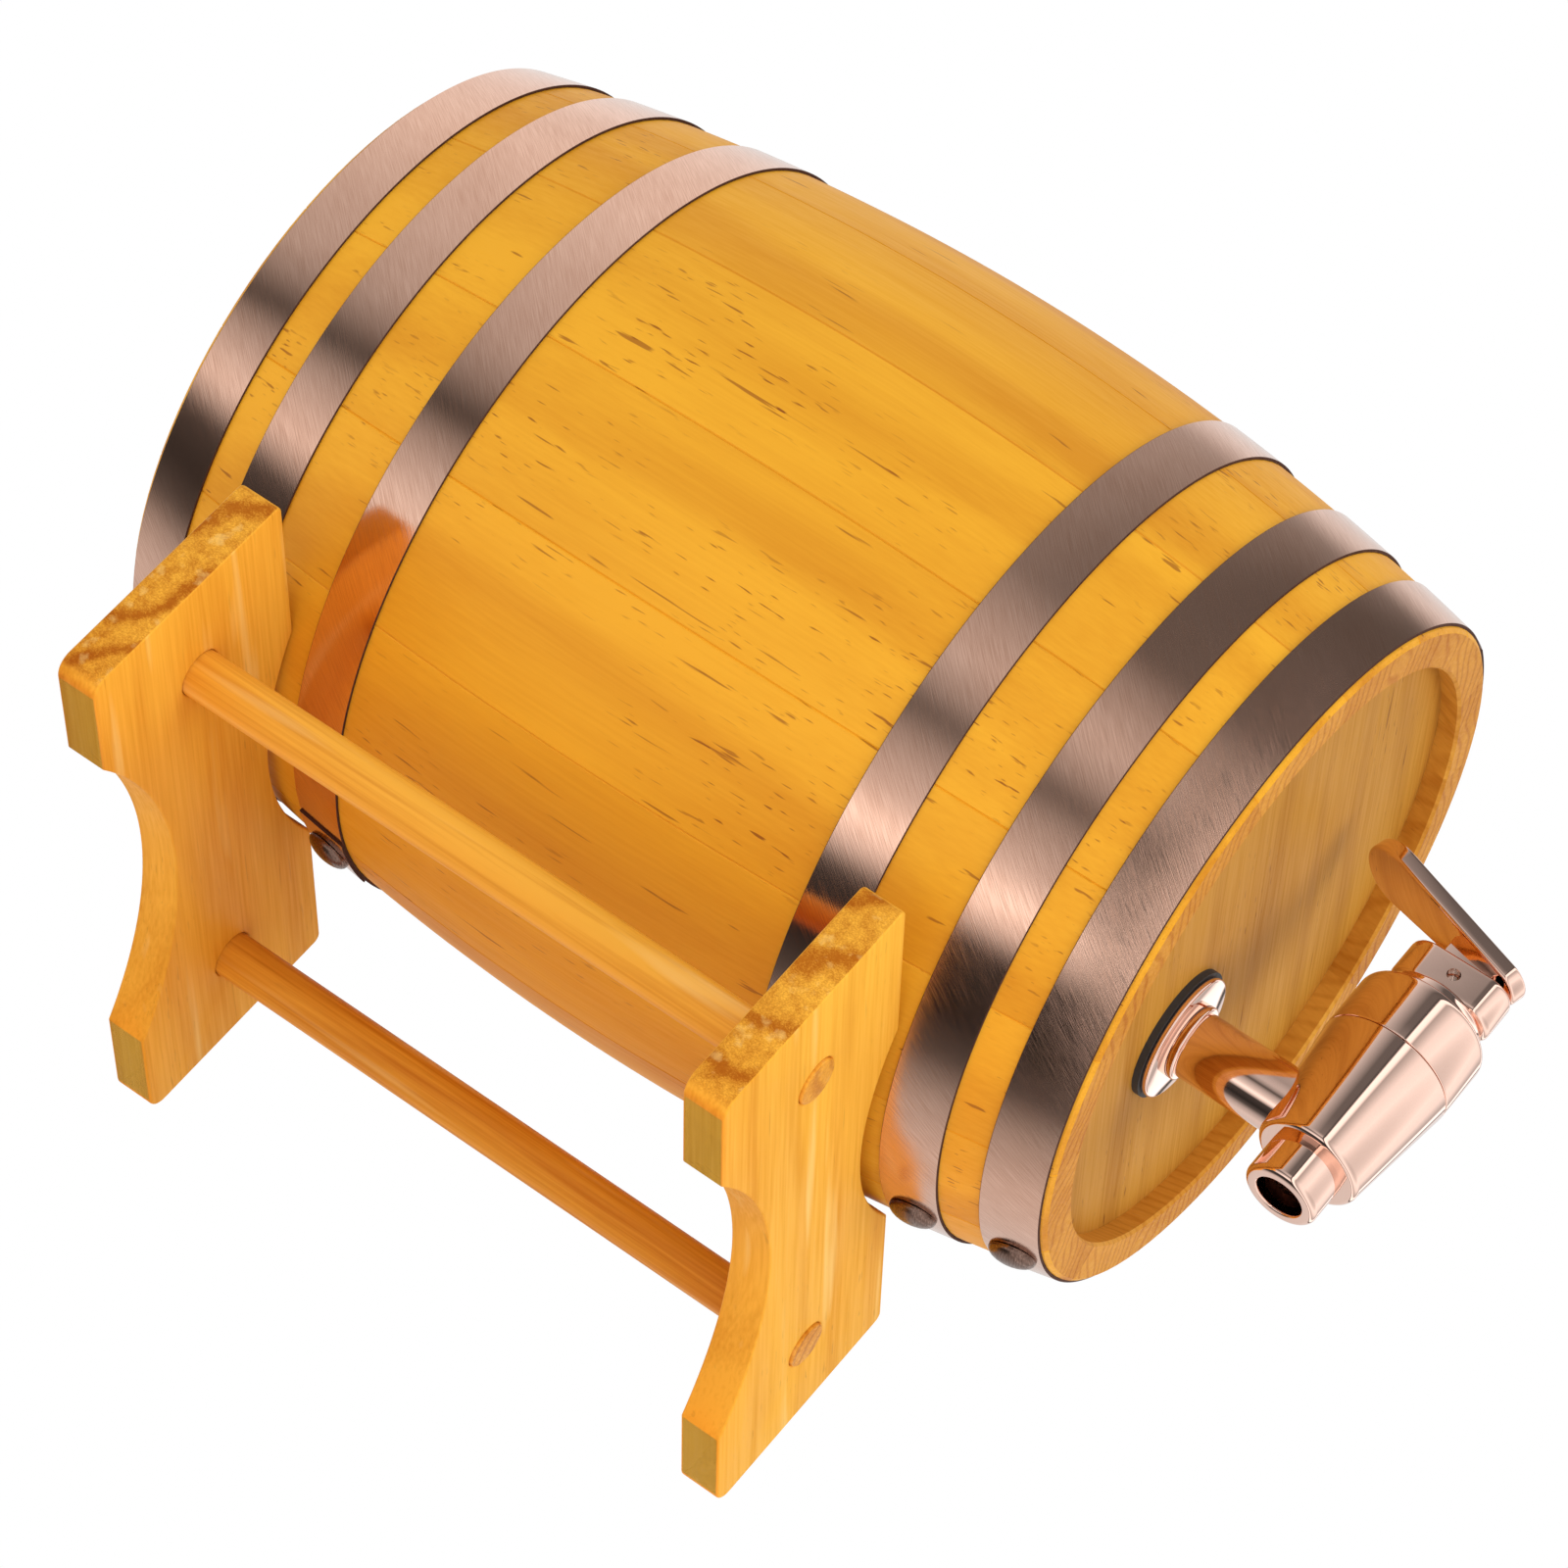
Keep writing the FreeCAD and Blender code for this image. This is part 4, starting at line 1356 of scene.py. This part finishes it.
    def cap_mesh(self) -> Mesh:
        """The upper shell with its spigot and its round shoulder.

        Returns:
            The mesh.
        """
        edge, rim, steps = self.cap_edge, self.seam_edge, 8
        shoulder = self.high_radius - edge
        rise = self.cap_top - self.cap_height
        spigot_radius, spigot_end = self.chamber - self.spigot_play, self.seam - self.spigot
        profile = [(self.stem_bore, spigot_end), (spigot_radius, spigot_end),
                   (spigot_radius, self.seam + self.spigot_step)]
        profile += arc((self.high_radius - rim, self.seam + self.seam_gap + rim), rim, -90, 0, 4)
        profile += arc((shoulder, self.cap_height - edge), edge, 0, 78, 8)
        reach = shoulder - self.neck_radius
        for step in range(1, steps):
            turn = math.radians(90.0 * step / steps)
            height = self.cap_height + rise * math.sin(turn)
            profile.append((self.neck_radius + reach * math.cos(turn), height))
        profile += [(self.neck_radius, self.cap_top), (self.stem_bore, self.cap_top)]
        return lathe("tap_cap", profile, 144)

    def rounded_block(self, width: float, depth: float, bend: float) -> list[Point]:
        """A level rectangle with round corners, centred.

        Args:
            width: its size along X.
            depth: its size along Y.
            bend: its corners' radius.

        Returns:
            Its outline.
        """
        points = []
        for sign_x, sign_y, start in ((1, -1, -90), (1, 1, 0), (-1, 1, 90), (-1, -1, 180)):
            centre = (sign_x * (width / 2 - bend), sign_y * (depth / 2 - bend))
            points += arc(centre, bend, start, start + 90, 10)
        return points

    def bonnet_mesh(self) -> Mesh:
        """The rounded block with its slot for the web and its pin hole.

        Returns:
            The mesh.
        """
        width, depth, height = self.bonnet
        middle = Matrix.Translation((0.0, 0.0, self.cap_top + height / 2))
        outline = self.rounded_block(width, depth, self.bonnet_round)
        mesh = plate("bonnet", [outline], height, self.bonnet_edge)
        mesh.transform(middle)
        opening = self.rounded_block(*self.mortise, self.mortise_round)
        slot = plate("slot", [opening], 2 * height, self.mortise_edge)
        slot.transform(middle)
        profile = [(0.0, -width), (self.pin_radius, -width), (self.pin_radius, width), (0.0, width)]
        pin_hole = lathe("pin_hole", profile, self.pin_steps, closed=False)
        pin_hole.transform(Matrix.Translation((0.0, 0.0, self.cap_top + self.pin_rise)) @ ONTO_X)
        return cut(mesh, [slot, pin_hole])

    def paddle_outline(self) -> list[Point]:
        """Round wide tip and round narrow heel, joined by the sides that touch both.

        Returns:
            The outline.
        """
        (tip_reach, tip_radius), (heel_reach, heel_radius) = self.tip, self.heel
        lean = math.degrees(math.asin((tip_radius - heel_radius) / (tip_reach + heel_reach)))
        points = arc((0.0, tip_reach), tip_radius, -lean, 180 + lean, 28)
        points += arc((0.0, -heel_reach), heel_radius, 180 + lean, 360 - lean, 22)
        return points

    def web_mesh(self) -> Mesh:
        """The web, round about its pin and slotted below it for the valve stem's neck.

        Returns:
            The mesh, with the pin's middle at zero.
        """
        thick, width = self.web
        half, bend = width / 2, self.web_round
        under = self.paddle_rise - self.pin_rise
        outline = [(half, 0.0), (half, under + self.paddle_thick), (0.0, under + self.paddle_thick / 2),
                   (-half, under), (-half, 0.0)]
        outline += arc((0.0, 0.0), bend, 180, 360, 20)
        pin_hole = hole((0.0, 0.0), self.pin_radius + self.pin_play)
        mesh = plate("web", [outline, pin_hole], thick, self.web_edge)
        upright = Matrix(((0, 0, 1), (1, 0, 0), (0, 1, 0))).to_4x4()
        mesh.transform(upright)
        slot_half, slot_low = self.web_slot, -1.5 * bend
        sides = [(slot_half, slot_low), (slot_half, 0.0), (-slot_half, 0.0), (-slot_half, slot_low)]
        slot = plate("web_slot", [sides], 2 * width, self.web_slot_edge)
        slot.transform(FACE_FRONT)
        return cut(mesh, [slot])

    def lever_mesh(self) -> Mesh:
        """The tilted paddle on its web.

        Returns:
            The mesh.
        """
        paddle = plate("paddle", [self.paddle_outline()], self.paddle_thick, self.paddle_edge)
        paddle.transform(Matrix.Translation((0.0, 0.0, self.paddle_rise))
                         @ Matrix.Rotation(math.radians(self.paddle_tilt), 4, "X")
                         @ Matrix.Translation((0.0, 0.0, self.paddle_thick / 2)))
        web = self.web_mesh()
        web.transform(Matrix.Translation((0.0, 0.0, self.pin_rise)))
        mesh = join("lever", [paddle, web])
        mesh.transform(Matrix.Translation((0.0, 0.0, self.cap_top)))
        return mesh

    def pin_mesh(self) -> Mesh:
        """The pin, a little shorter than its hole, with eased ends.

        Returns:
            The mesh.
        """
        half, edge = self.bonnet[0] / 2 - self.pin_sunk, self.pin_edge
        profile = [(0.0, -half), (self.pin_radius - edge, -half), (self.pin_radius, -half + edge),
                   (self.pin_radius, half - edge), (self.pin_radius - edge, half), (0.0, half)]
        mesh = lathe("pin", profile, self.pin_steps, closed=False)
        mesh.transform(Matrix.Translation((0.0, 0.0, self.cap_top + self.pin_rise)) @ ONTO_X)
        return mesh

    def build(self, gold: Material, steel: Material) -> None:
        """Builds every shown piece of the tap.

        Args:
            gold: the polished finish.
            steel: the pin's finish.
        """
        body = join("shell", [self.shell_mesh(), self.shank_mesh()])
        pieces = [
            ("tap_shell", body, gold, "cask", "tap_metal", "tap_body"),
            ("tap_spout_tube", self.spout_mesh(), gold, "cask", "tap_metal", "tap_spout"),
            ("tap_cap_shell", self.cap_mesh(), gold, "cask", "tap_metal", "tap_cap"),
            ("tap_bonnet_block", self.bonnet_mesh(), gold, "cask", "tap_metal", "tap_bonnet"),
            ("tap_paddle", self.lever_mesh(), gold, "lever", "tap_metal", "tap_lever"),
            ("lever_pin_rod", self.pin_mesh(), steel, "cask", "pin_steel", "lever_pin"),
        ]
        for name, mesh, finish, body_name, slot, node in pieces:
            mesh.transform(self.seat)
            show(name, mesh, [finish], body_name, [node])


# Stage, light and camera


@dataclass
class Studio:
    """Pale floor, soft light and the photograph's camera.

    The metal mirrors three rows of panels in the world. Two run round the cask's axis, as (degrees from the
    top towards -X, brightness), and the front one runs out towards -Y, as (share of the way, brightness).
    """

    ambient: float = 0.58
    rear_panels: tuple[Point, ...] = (
        (-180, 0.04), (-165, 0.10), (-150, 0.55), (-130, 0.80), (-95, 0.60), (-20, 1.05), (20, 0.98),
        (60, 0.74), (88, 0.58), (101, 0.35), (112, 0.05), (121, 0.42), (137, 0.85), (146, 1.10),
        (153, 0.70), (160, 0.08), (180, 0.04))
    middle_panels: tuple[Point, ...] = (
        (-180, 0.02), (-166, 0.10), (-150, 0.50), (-130, 0.80), (-60, 0.85), (-27, 0.85), (-10, 0.12),
        (28, 0.13), (68, 0.16), (80, 0.45), (95, 0.75), (105, 0.50), (113, 0.12), (122, 0.50),
        (136, 0.90), (145, 1.70), (152, 1.00), (159, 0.05), (180, 0.02))
    front_panels: tuple[Point, ...] = (
        (0.10, 0.10), (0.17, 0.10), (0.20, 1.60), (0.30, 1.45), (0.36, 0.50), (0.46, 0.70), (0.60, 1.10),
        (0.78, 1.25), (0.90, 0.90), (1.00, 0.70))
    rear_blend: Point = (0.05, 0.45)
    front_blend: Point = (-0.11, -0.14)
    floor_size: float = 2.4
    floor_fade: Point = (0.35, 0.95)
    floor_glow: float = 0.25
    lamp_target: Triple = (0.0, 0.0, 0.12)
    lens: float = 135.63
    sensor_width: float = 36.0
    camera_place: Triple = (-1.0160, -0.3917, -0.4459)
    right: Triple = (-0.0171, -0.7948, 0.6067)
    up: Triple = (-0.5579, 0.5111, 0.6538)
    back: Triple = (-0.8297, -0.3273, -0.4522)

    def floor_paint(self) -> Material:
        """Makes the floor's material, which shows from above only, so that the low camera can look past it.

        Returns:
            The material.
        """
        material = bpy.data.materials.new("pale_floor")
        material.use_nodes = True
        tree = Tree(material.node_tree)
        material.node_tree.nodes.clear()
        coordinates = tree.add("ShaderNodeTexCoord").outputs["Object"]
        paint = tree.add("ShaderNodeBsdfDiffuse")
        grit = tree.noise(coordinates, 40.0)
        tree.feed(paint.inputs["Color"], tree.mix(grit, (0.90, 0.90, 0.90), (0.93, 0.93, 0.93)))
        glow = tree.add("ShaderNodeEmission")
        glow.inputs["Strength"].default_value = self.floor_glow
        lit = tree.add("ShaderNodeAddShader")
        tree.feed(lit.inputs[0], paint.outputs[0])
        tree.feed(lit.inputs[1], glow.outputs[0])
        clear = tree.add("ShaderNodeBsdfTransparent")
        path = tree.add("ShaderNodeLightPath").outputs
        behind = tree.add("ShaderNodeNewGeometry").outputs["Backfacing"]
        passing = tree.math("MAXIMUM", path["Is Shadow Ray"], path["Is Glossy Ray"])
        reach = tree.add("ShaderNodeVectorMath", operation="LENGTH")
        tree.feed(reach.inputs[0], coordinates)
        passing = tree.math("MAXIMUM", passing, tree.ramp(reach.outputs["Value"], *self.floor_fade))
        choice = tree.add("ShaderNodeMixShader")
        tree.feed(choice.inputs[0], tree.math("MAXIMUM", behind, passing))
        tree.feed(choice.inputs[1], lit.outputs[0])
        tree.feed(choice.inputs[2], clear.outputs[0])
        tree.feed(tree.add("ShaderNodeOutputMaterial").inputs["Surface"], choice.outputs[0])
        return material

    def build_floor(self) -> None:
        """Builds the level square under the stand."""
        half = self.floor_size / 2
        corners = [(-half, -half, 0), (half, -half, 0), (half, half, 0), (-half, half, 0)]
        mesh = bpy.data.meshes.new("floor")
        mesh.from_pydata(corners, [], [(0, 1, 2, 3)])
        mesh.materials.append(self.floor_paint())
        floor = bpy.data.objects.new("floor", mesh)
        bpy.context.scene.collection.objects.link(floor)

    def panel_row(self, tree: Tree, share: Socket, panels: tuple[Point, ...], start: float = -180.0,
                  end: float = 180.0) -> Socket:
        """Adds the brightness of a row of panels.

        Args:
            tree: the world's tree.
            share: the socket with the place along the row, from 0 to 1.
            panels: (place, brightness) in order.
            start: the place at share 0.
            end: the place at share 1.

        Returns:
            The colour socket.
        """
        ramp = tree.add("ShaderNodeValToRGB")
        tree.feed(ramp.inputs[0], share)
        stops = ramp.color_ramp.elements
        for number, (spot, bright) in enumerate(panels):
            place = (spot - start) / (end - start)
            stop = stops[number] if number < 2 else stops.new(place)
            stop.position = place
            stop.color = (bright, bright, bright, 1.0)
        return ramp.outputs[0]

    def build_world(self) -> None:
        """Builds white behind the object, panels for what mirrors, and an even grey for the rest."""
        world = bpy.data.worlds.new("studio")
        bpy.context.scene.world = world
        world.use_nodes = True
        world.node_tree.nodes.clear()
        tree = Tree(world.node_tree)
        parts = tree.parts(tree.add("ShaderNodeTexCoord").outputs["Generated"])
        turn = tree.math("ARCTAN2", tree.times(parts[0], -1.0), parts[2])
        share = tree.ramp(turn, -math.pi, math.pi)
        rear = self.panel_row(tree, share, self.rear_panels)
        middle = self.panel_row(tree, share, self.middle_panels)
        front = self.panel_row(tree, tree.times(parts[1], -1.0), self.front_panels, 0.0, 1.0)
        panels = tree.mix(tree.ramp(parts[1], *self.rear_blend), middle, rear)
        panels = tree.mix(tree.ramp(parts[1], *self.front_blend), panels, front)
        path = tree.add("ShaderNodeLightPath").outputs
        room = tree.mix(path["Is Glossy Ray"], (self.ambient,) * 3, panels)
        shown = tree.mix(path["Is Camera Ray"], room, (1.0, 1.0, 1.0))
        light = tree.add("ShaderNodeBackground")
        tree.feed(light.inputs["Color"], shown)
        tree.feed(tree.add("ShaderNodeOutputWorld").inputs["Surface"], light.outputs[0])

    def build_lamps(self) -> None:
        """Builds soft boxes round the object, each aimed at the cask's middle and unseen in the metal."""
        target = Vector(self.lamp_target)
        lamps = (
            ("key", (-1.3, -0.2, 0.55), 0.7, 0.7, 3.0),
            ("strip", (-1.05, -0.5, -0.75), 0.5, 1.2, 3.0),
            ("front", (-0.45, -1.5, 0.25), 0.8, 0.8, 8.0),
            ("low", (-0.4, -0.3, -1.4), 1.0, 1.0, 2.5),
            ("top", (-0.3, 0.1, 1.6), 1.2, 1.2, 5.0),
            ("rear", (0.9, 1.2, 0.7), 0.9, 0.9, 4.0),
        )
        for name, place, width, height, power in lamps:
            data = bpy.data.lights.new(name, "AREA")
            data.shape = "RECTANGLE"
            data.size = width
            data.size_y = height
            data.energy = power
            lamp = bpy.data.objects.new(name, data)
            lamp.location = place
            lamp.rotation_euler = (target - Vector(place)).to_track_quat("-Z", "Y").to_euler()
            lamp.visible_camera = False
            lamp.visible_glossy = False
            bpy.context.scene.collection.objects.link(lamp)

    def build_camera(self) -> None:
        """Builds the camera, from the fit of the photograph's round edges."""
        data = bpy.data.cameras.new("photo_camera")
        data.lens = self.lens
        data.sensor_width = self.sensor_width
        camera = bpy.data.objects.new("photo_camera", data)
        turn = Matrix((self.right, self.up, self.back)).transposed()
        camera.matrix_world = Matrix.Translation(self.camera_place) @ turn.to_4x4()
        bpy.context.scene.collection.objects.link(camera)
        bpy.context.scene.camera = camera

    def build(self) -> None:
        """Builds the stage in order."""
        for part in (self.build_floor, self.build_world, self.build_lamps, self.build_camera):
            part()
            LOG.info("studio: %s done", part.__name__)


STAVE_WOOD = WoodFinish(
    "stave_wood", Grain.ALONG_Y, (0.83, 0.395, 0.020), (0.66, 0.262, 0.009), fleck=(0.26, 0.06, 0.004),
    ring_spacing=34.0 * MM, ring_depth=0.45, band_depth=0.6, fleck_share=0.85)
CHIME_WOOD = WoodFinish(
    "chime_wood", Grain.ALONG_Y, (0.70, 0.33, 0.045), (0.46, 0.16, 0.012), end_shade=(0.85, 0.72, 0.7),
    ring_spacing=3.0 * MM, ring_depth=0.3, fleck_share=0.2, varnish=0.0, sheen=0.1)
HEAD_WOOD = WoodFinish(
    "head_wood", Grain.ALONG_X, (0.54, 0.25, 0.035), (0.37, 0.145, 0.016), fleck=(0.22, 0.08, 0.015),
    ring_spacing=16.0 * MM, fleck_share=0.9, fibre_depth=0.5, varnish=0.0, sheen=0.08)
BOARD_WOOD = WoodFinish(
    "board_wood", Grain.ALONG_X, (0.90, 0.46, 0.05), (0.64, 0.24, 0.012), pale=(0.95, 0.66, 0.22),
    ring_spacing=13.0 * MM, ring_depth=0.2, band_depth=0.4, fleck_share=0.2, fibre_depth=0.4,
    pale_share=0.6, varnish=0.0, sheen=0.08)
ROD_WOOD = WoodFinish(
    "rod_wood", Grain.ALONG_Y, (0.84, 0.40, 0.04), (0.58, 0.20, 0.01), end_shade=(0.75, 0.65, 0.6),
    ring_spacing=4.0 * MM, ring_depth=0.25, fleck_share=0.1, fibre_depth=0.6, pale_share=0.5)
BUNG_WOOD = WoodFinish(
    "bung_wood", Grain.ALONG_Z, (0.80, 0.40, 0.07), (0.52, 0.2, 0.02), ring_spacing=5.0 * MM,
    fleck_share=0.3)
TAP_GOLD = MetalFinish(
    "rose_gold", (0.92, 0.64, 0.53), (0.90, 0.61, 0.50), smooth=0.035, rough=0.06, bump=0.0)
HOOP_EDGE = MetalFinish(
    "hoop_cut_edge", (0.09, 0.04, 0.025), (0.05, 0.02, 0.015), smooth=0.6, rough=0.8, metallic=0.0,
    specular=0.1)
RIVET_BRONZE = MetalFinish(
    "rivet_bronze", (0.30, 0.19, 0.15), (0.14, 0.08, 0.06), smooth=0.22, rough=0.38)
PIN_STEEL = MetalFinish("pin_steel", (0.62, 0.60, 0.58), (0.5, 0.48, 0.46))
STEM_BRASS = MetalFinish("stem_brass", (0.75, 0.56, 0.25), (0.6, 0.42, 0.16))
HEAD_TONES = {"front_head": 0.4, "rear_head": 0.75}


def main() -> None:
    """Builds every piece in order."""
    logging.basicConfig(level=logging.INFO, format="%(message)s")
    bpy.context.scene.view_settings.view_transform = "Standard"
    cask = Cask()
    copper = MetalFinish(
        "brushed_copper", (0.84, 0.53, 0.40), (0.66, 0.38, 0.27), smooth=0.08, rough=0.20,
        ring_height=cask.height, slant=48.0, bump=0.5)
    cask.build_staves(STAVE_WOOD.build(), CHIME_WOOD.build())
    cask.build_hoops(copper.build(), HOOP_EDGE.build())
    cask.build_rivets(RIVET_BRONZE.build())
    cask.build_bung(BUNG_WOOD.build())
    head_wood = HEAD_WOOD.build()
    for node, tone in HEAD_TONES.items():
        dress(node, head_wood, tone)
    stand = Stand()
    stand.build_boards(BOARD_WOOD.build())
    stand.build_rods(ROD_WOOD.build())
    steel, rubber = PIN_STEEL.build(), RubberFinish().build()
    Tap().build(TAP_GOLD.build(), steel)
    for node in ("tap_gasket", "shank_washer", "valve_seal"):
        dress(node, rubber)
    for node in ("shank_nut", "valve_spring"):
        dress(node, steel)
    dress("valve_stem", STEM_BRASS.build())
    Studio().build()
    LOG.info("sizes written")


if __name__ == "__main__":
    main()
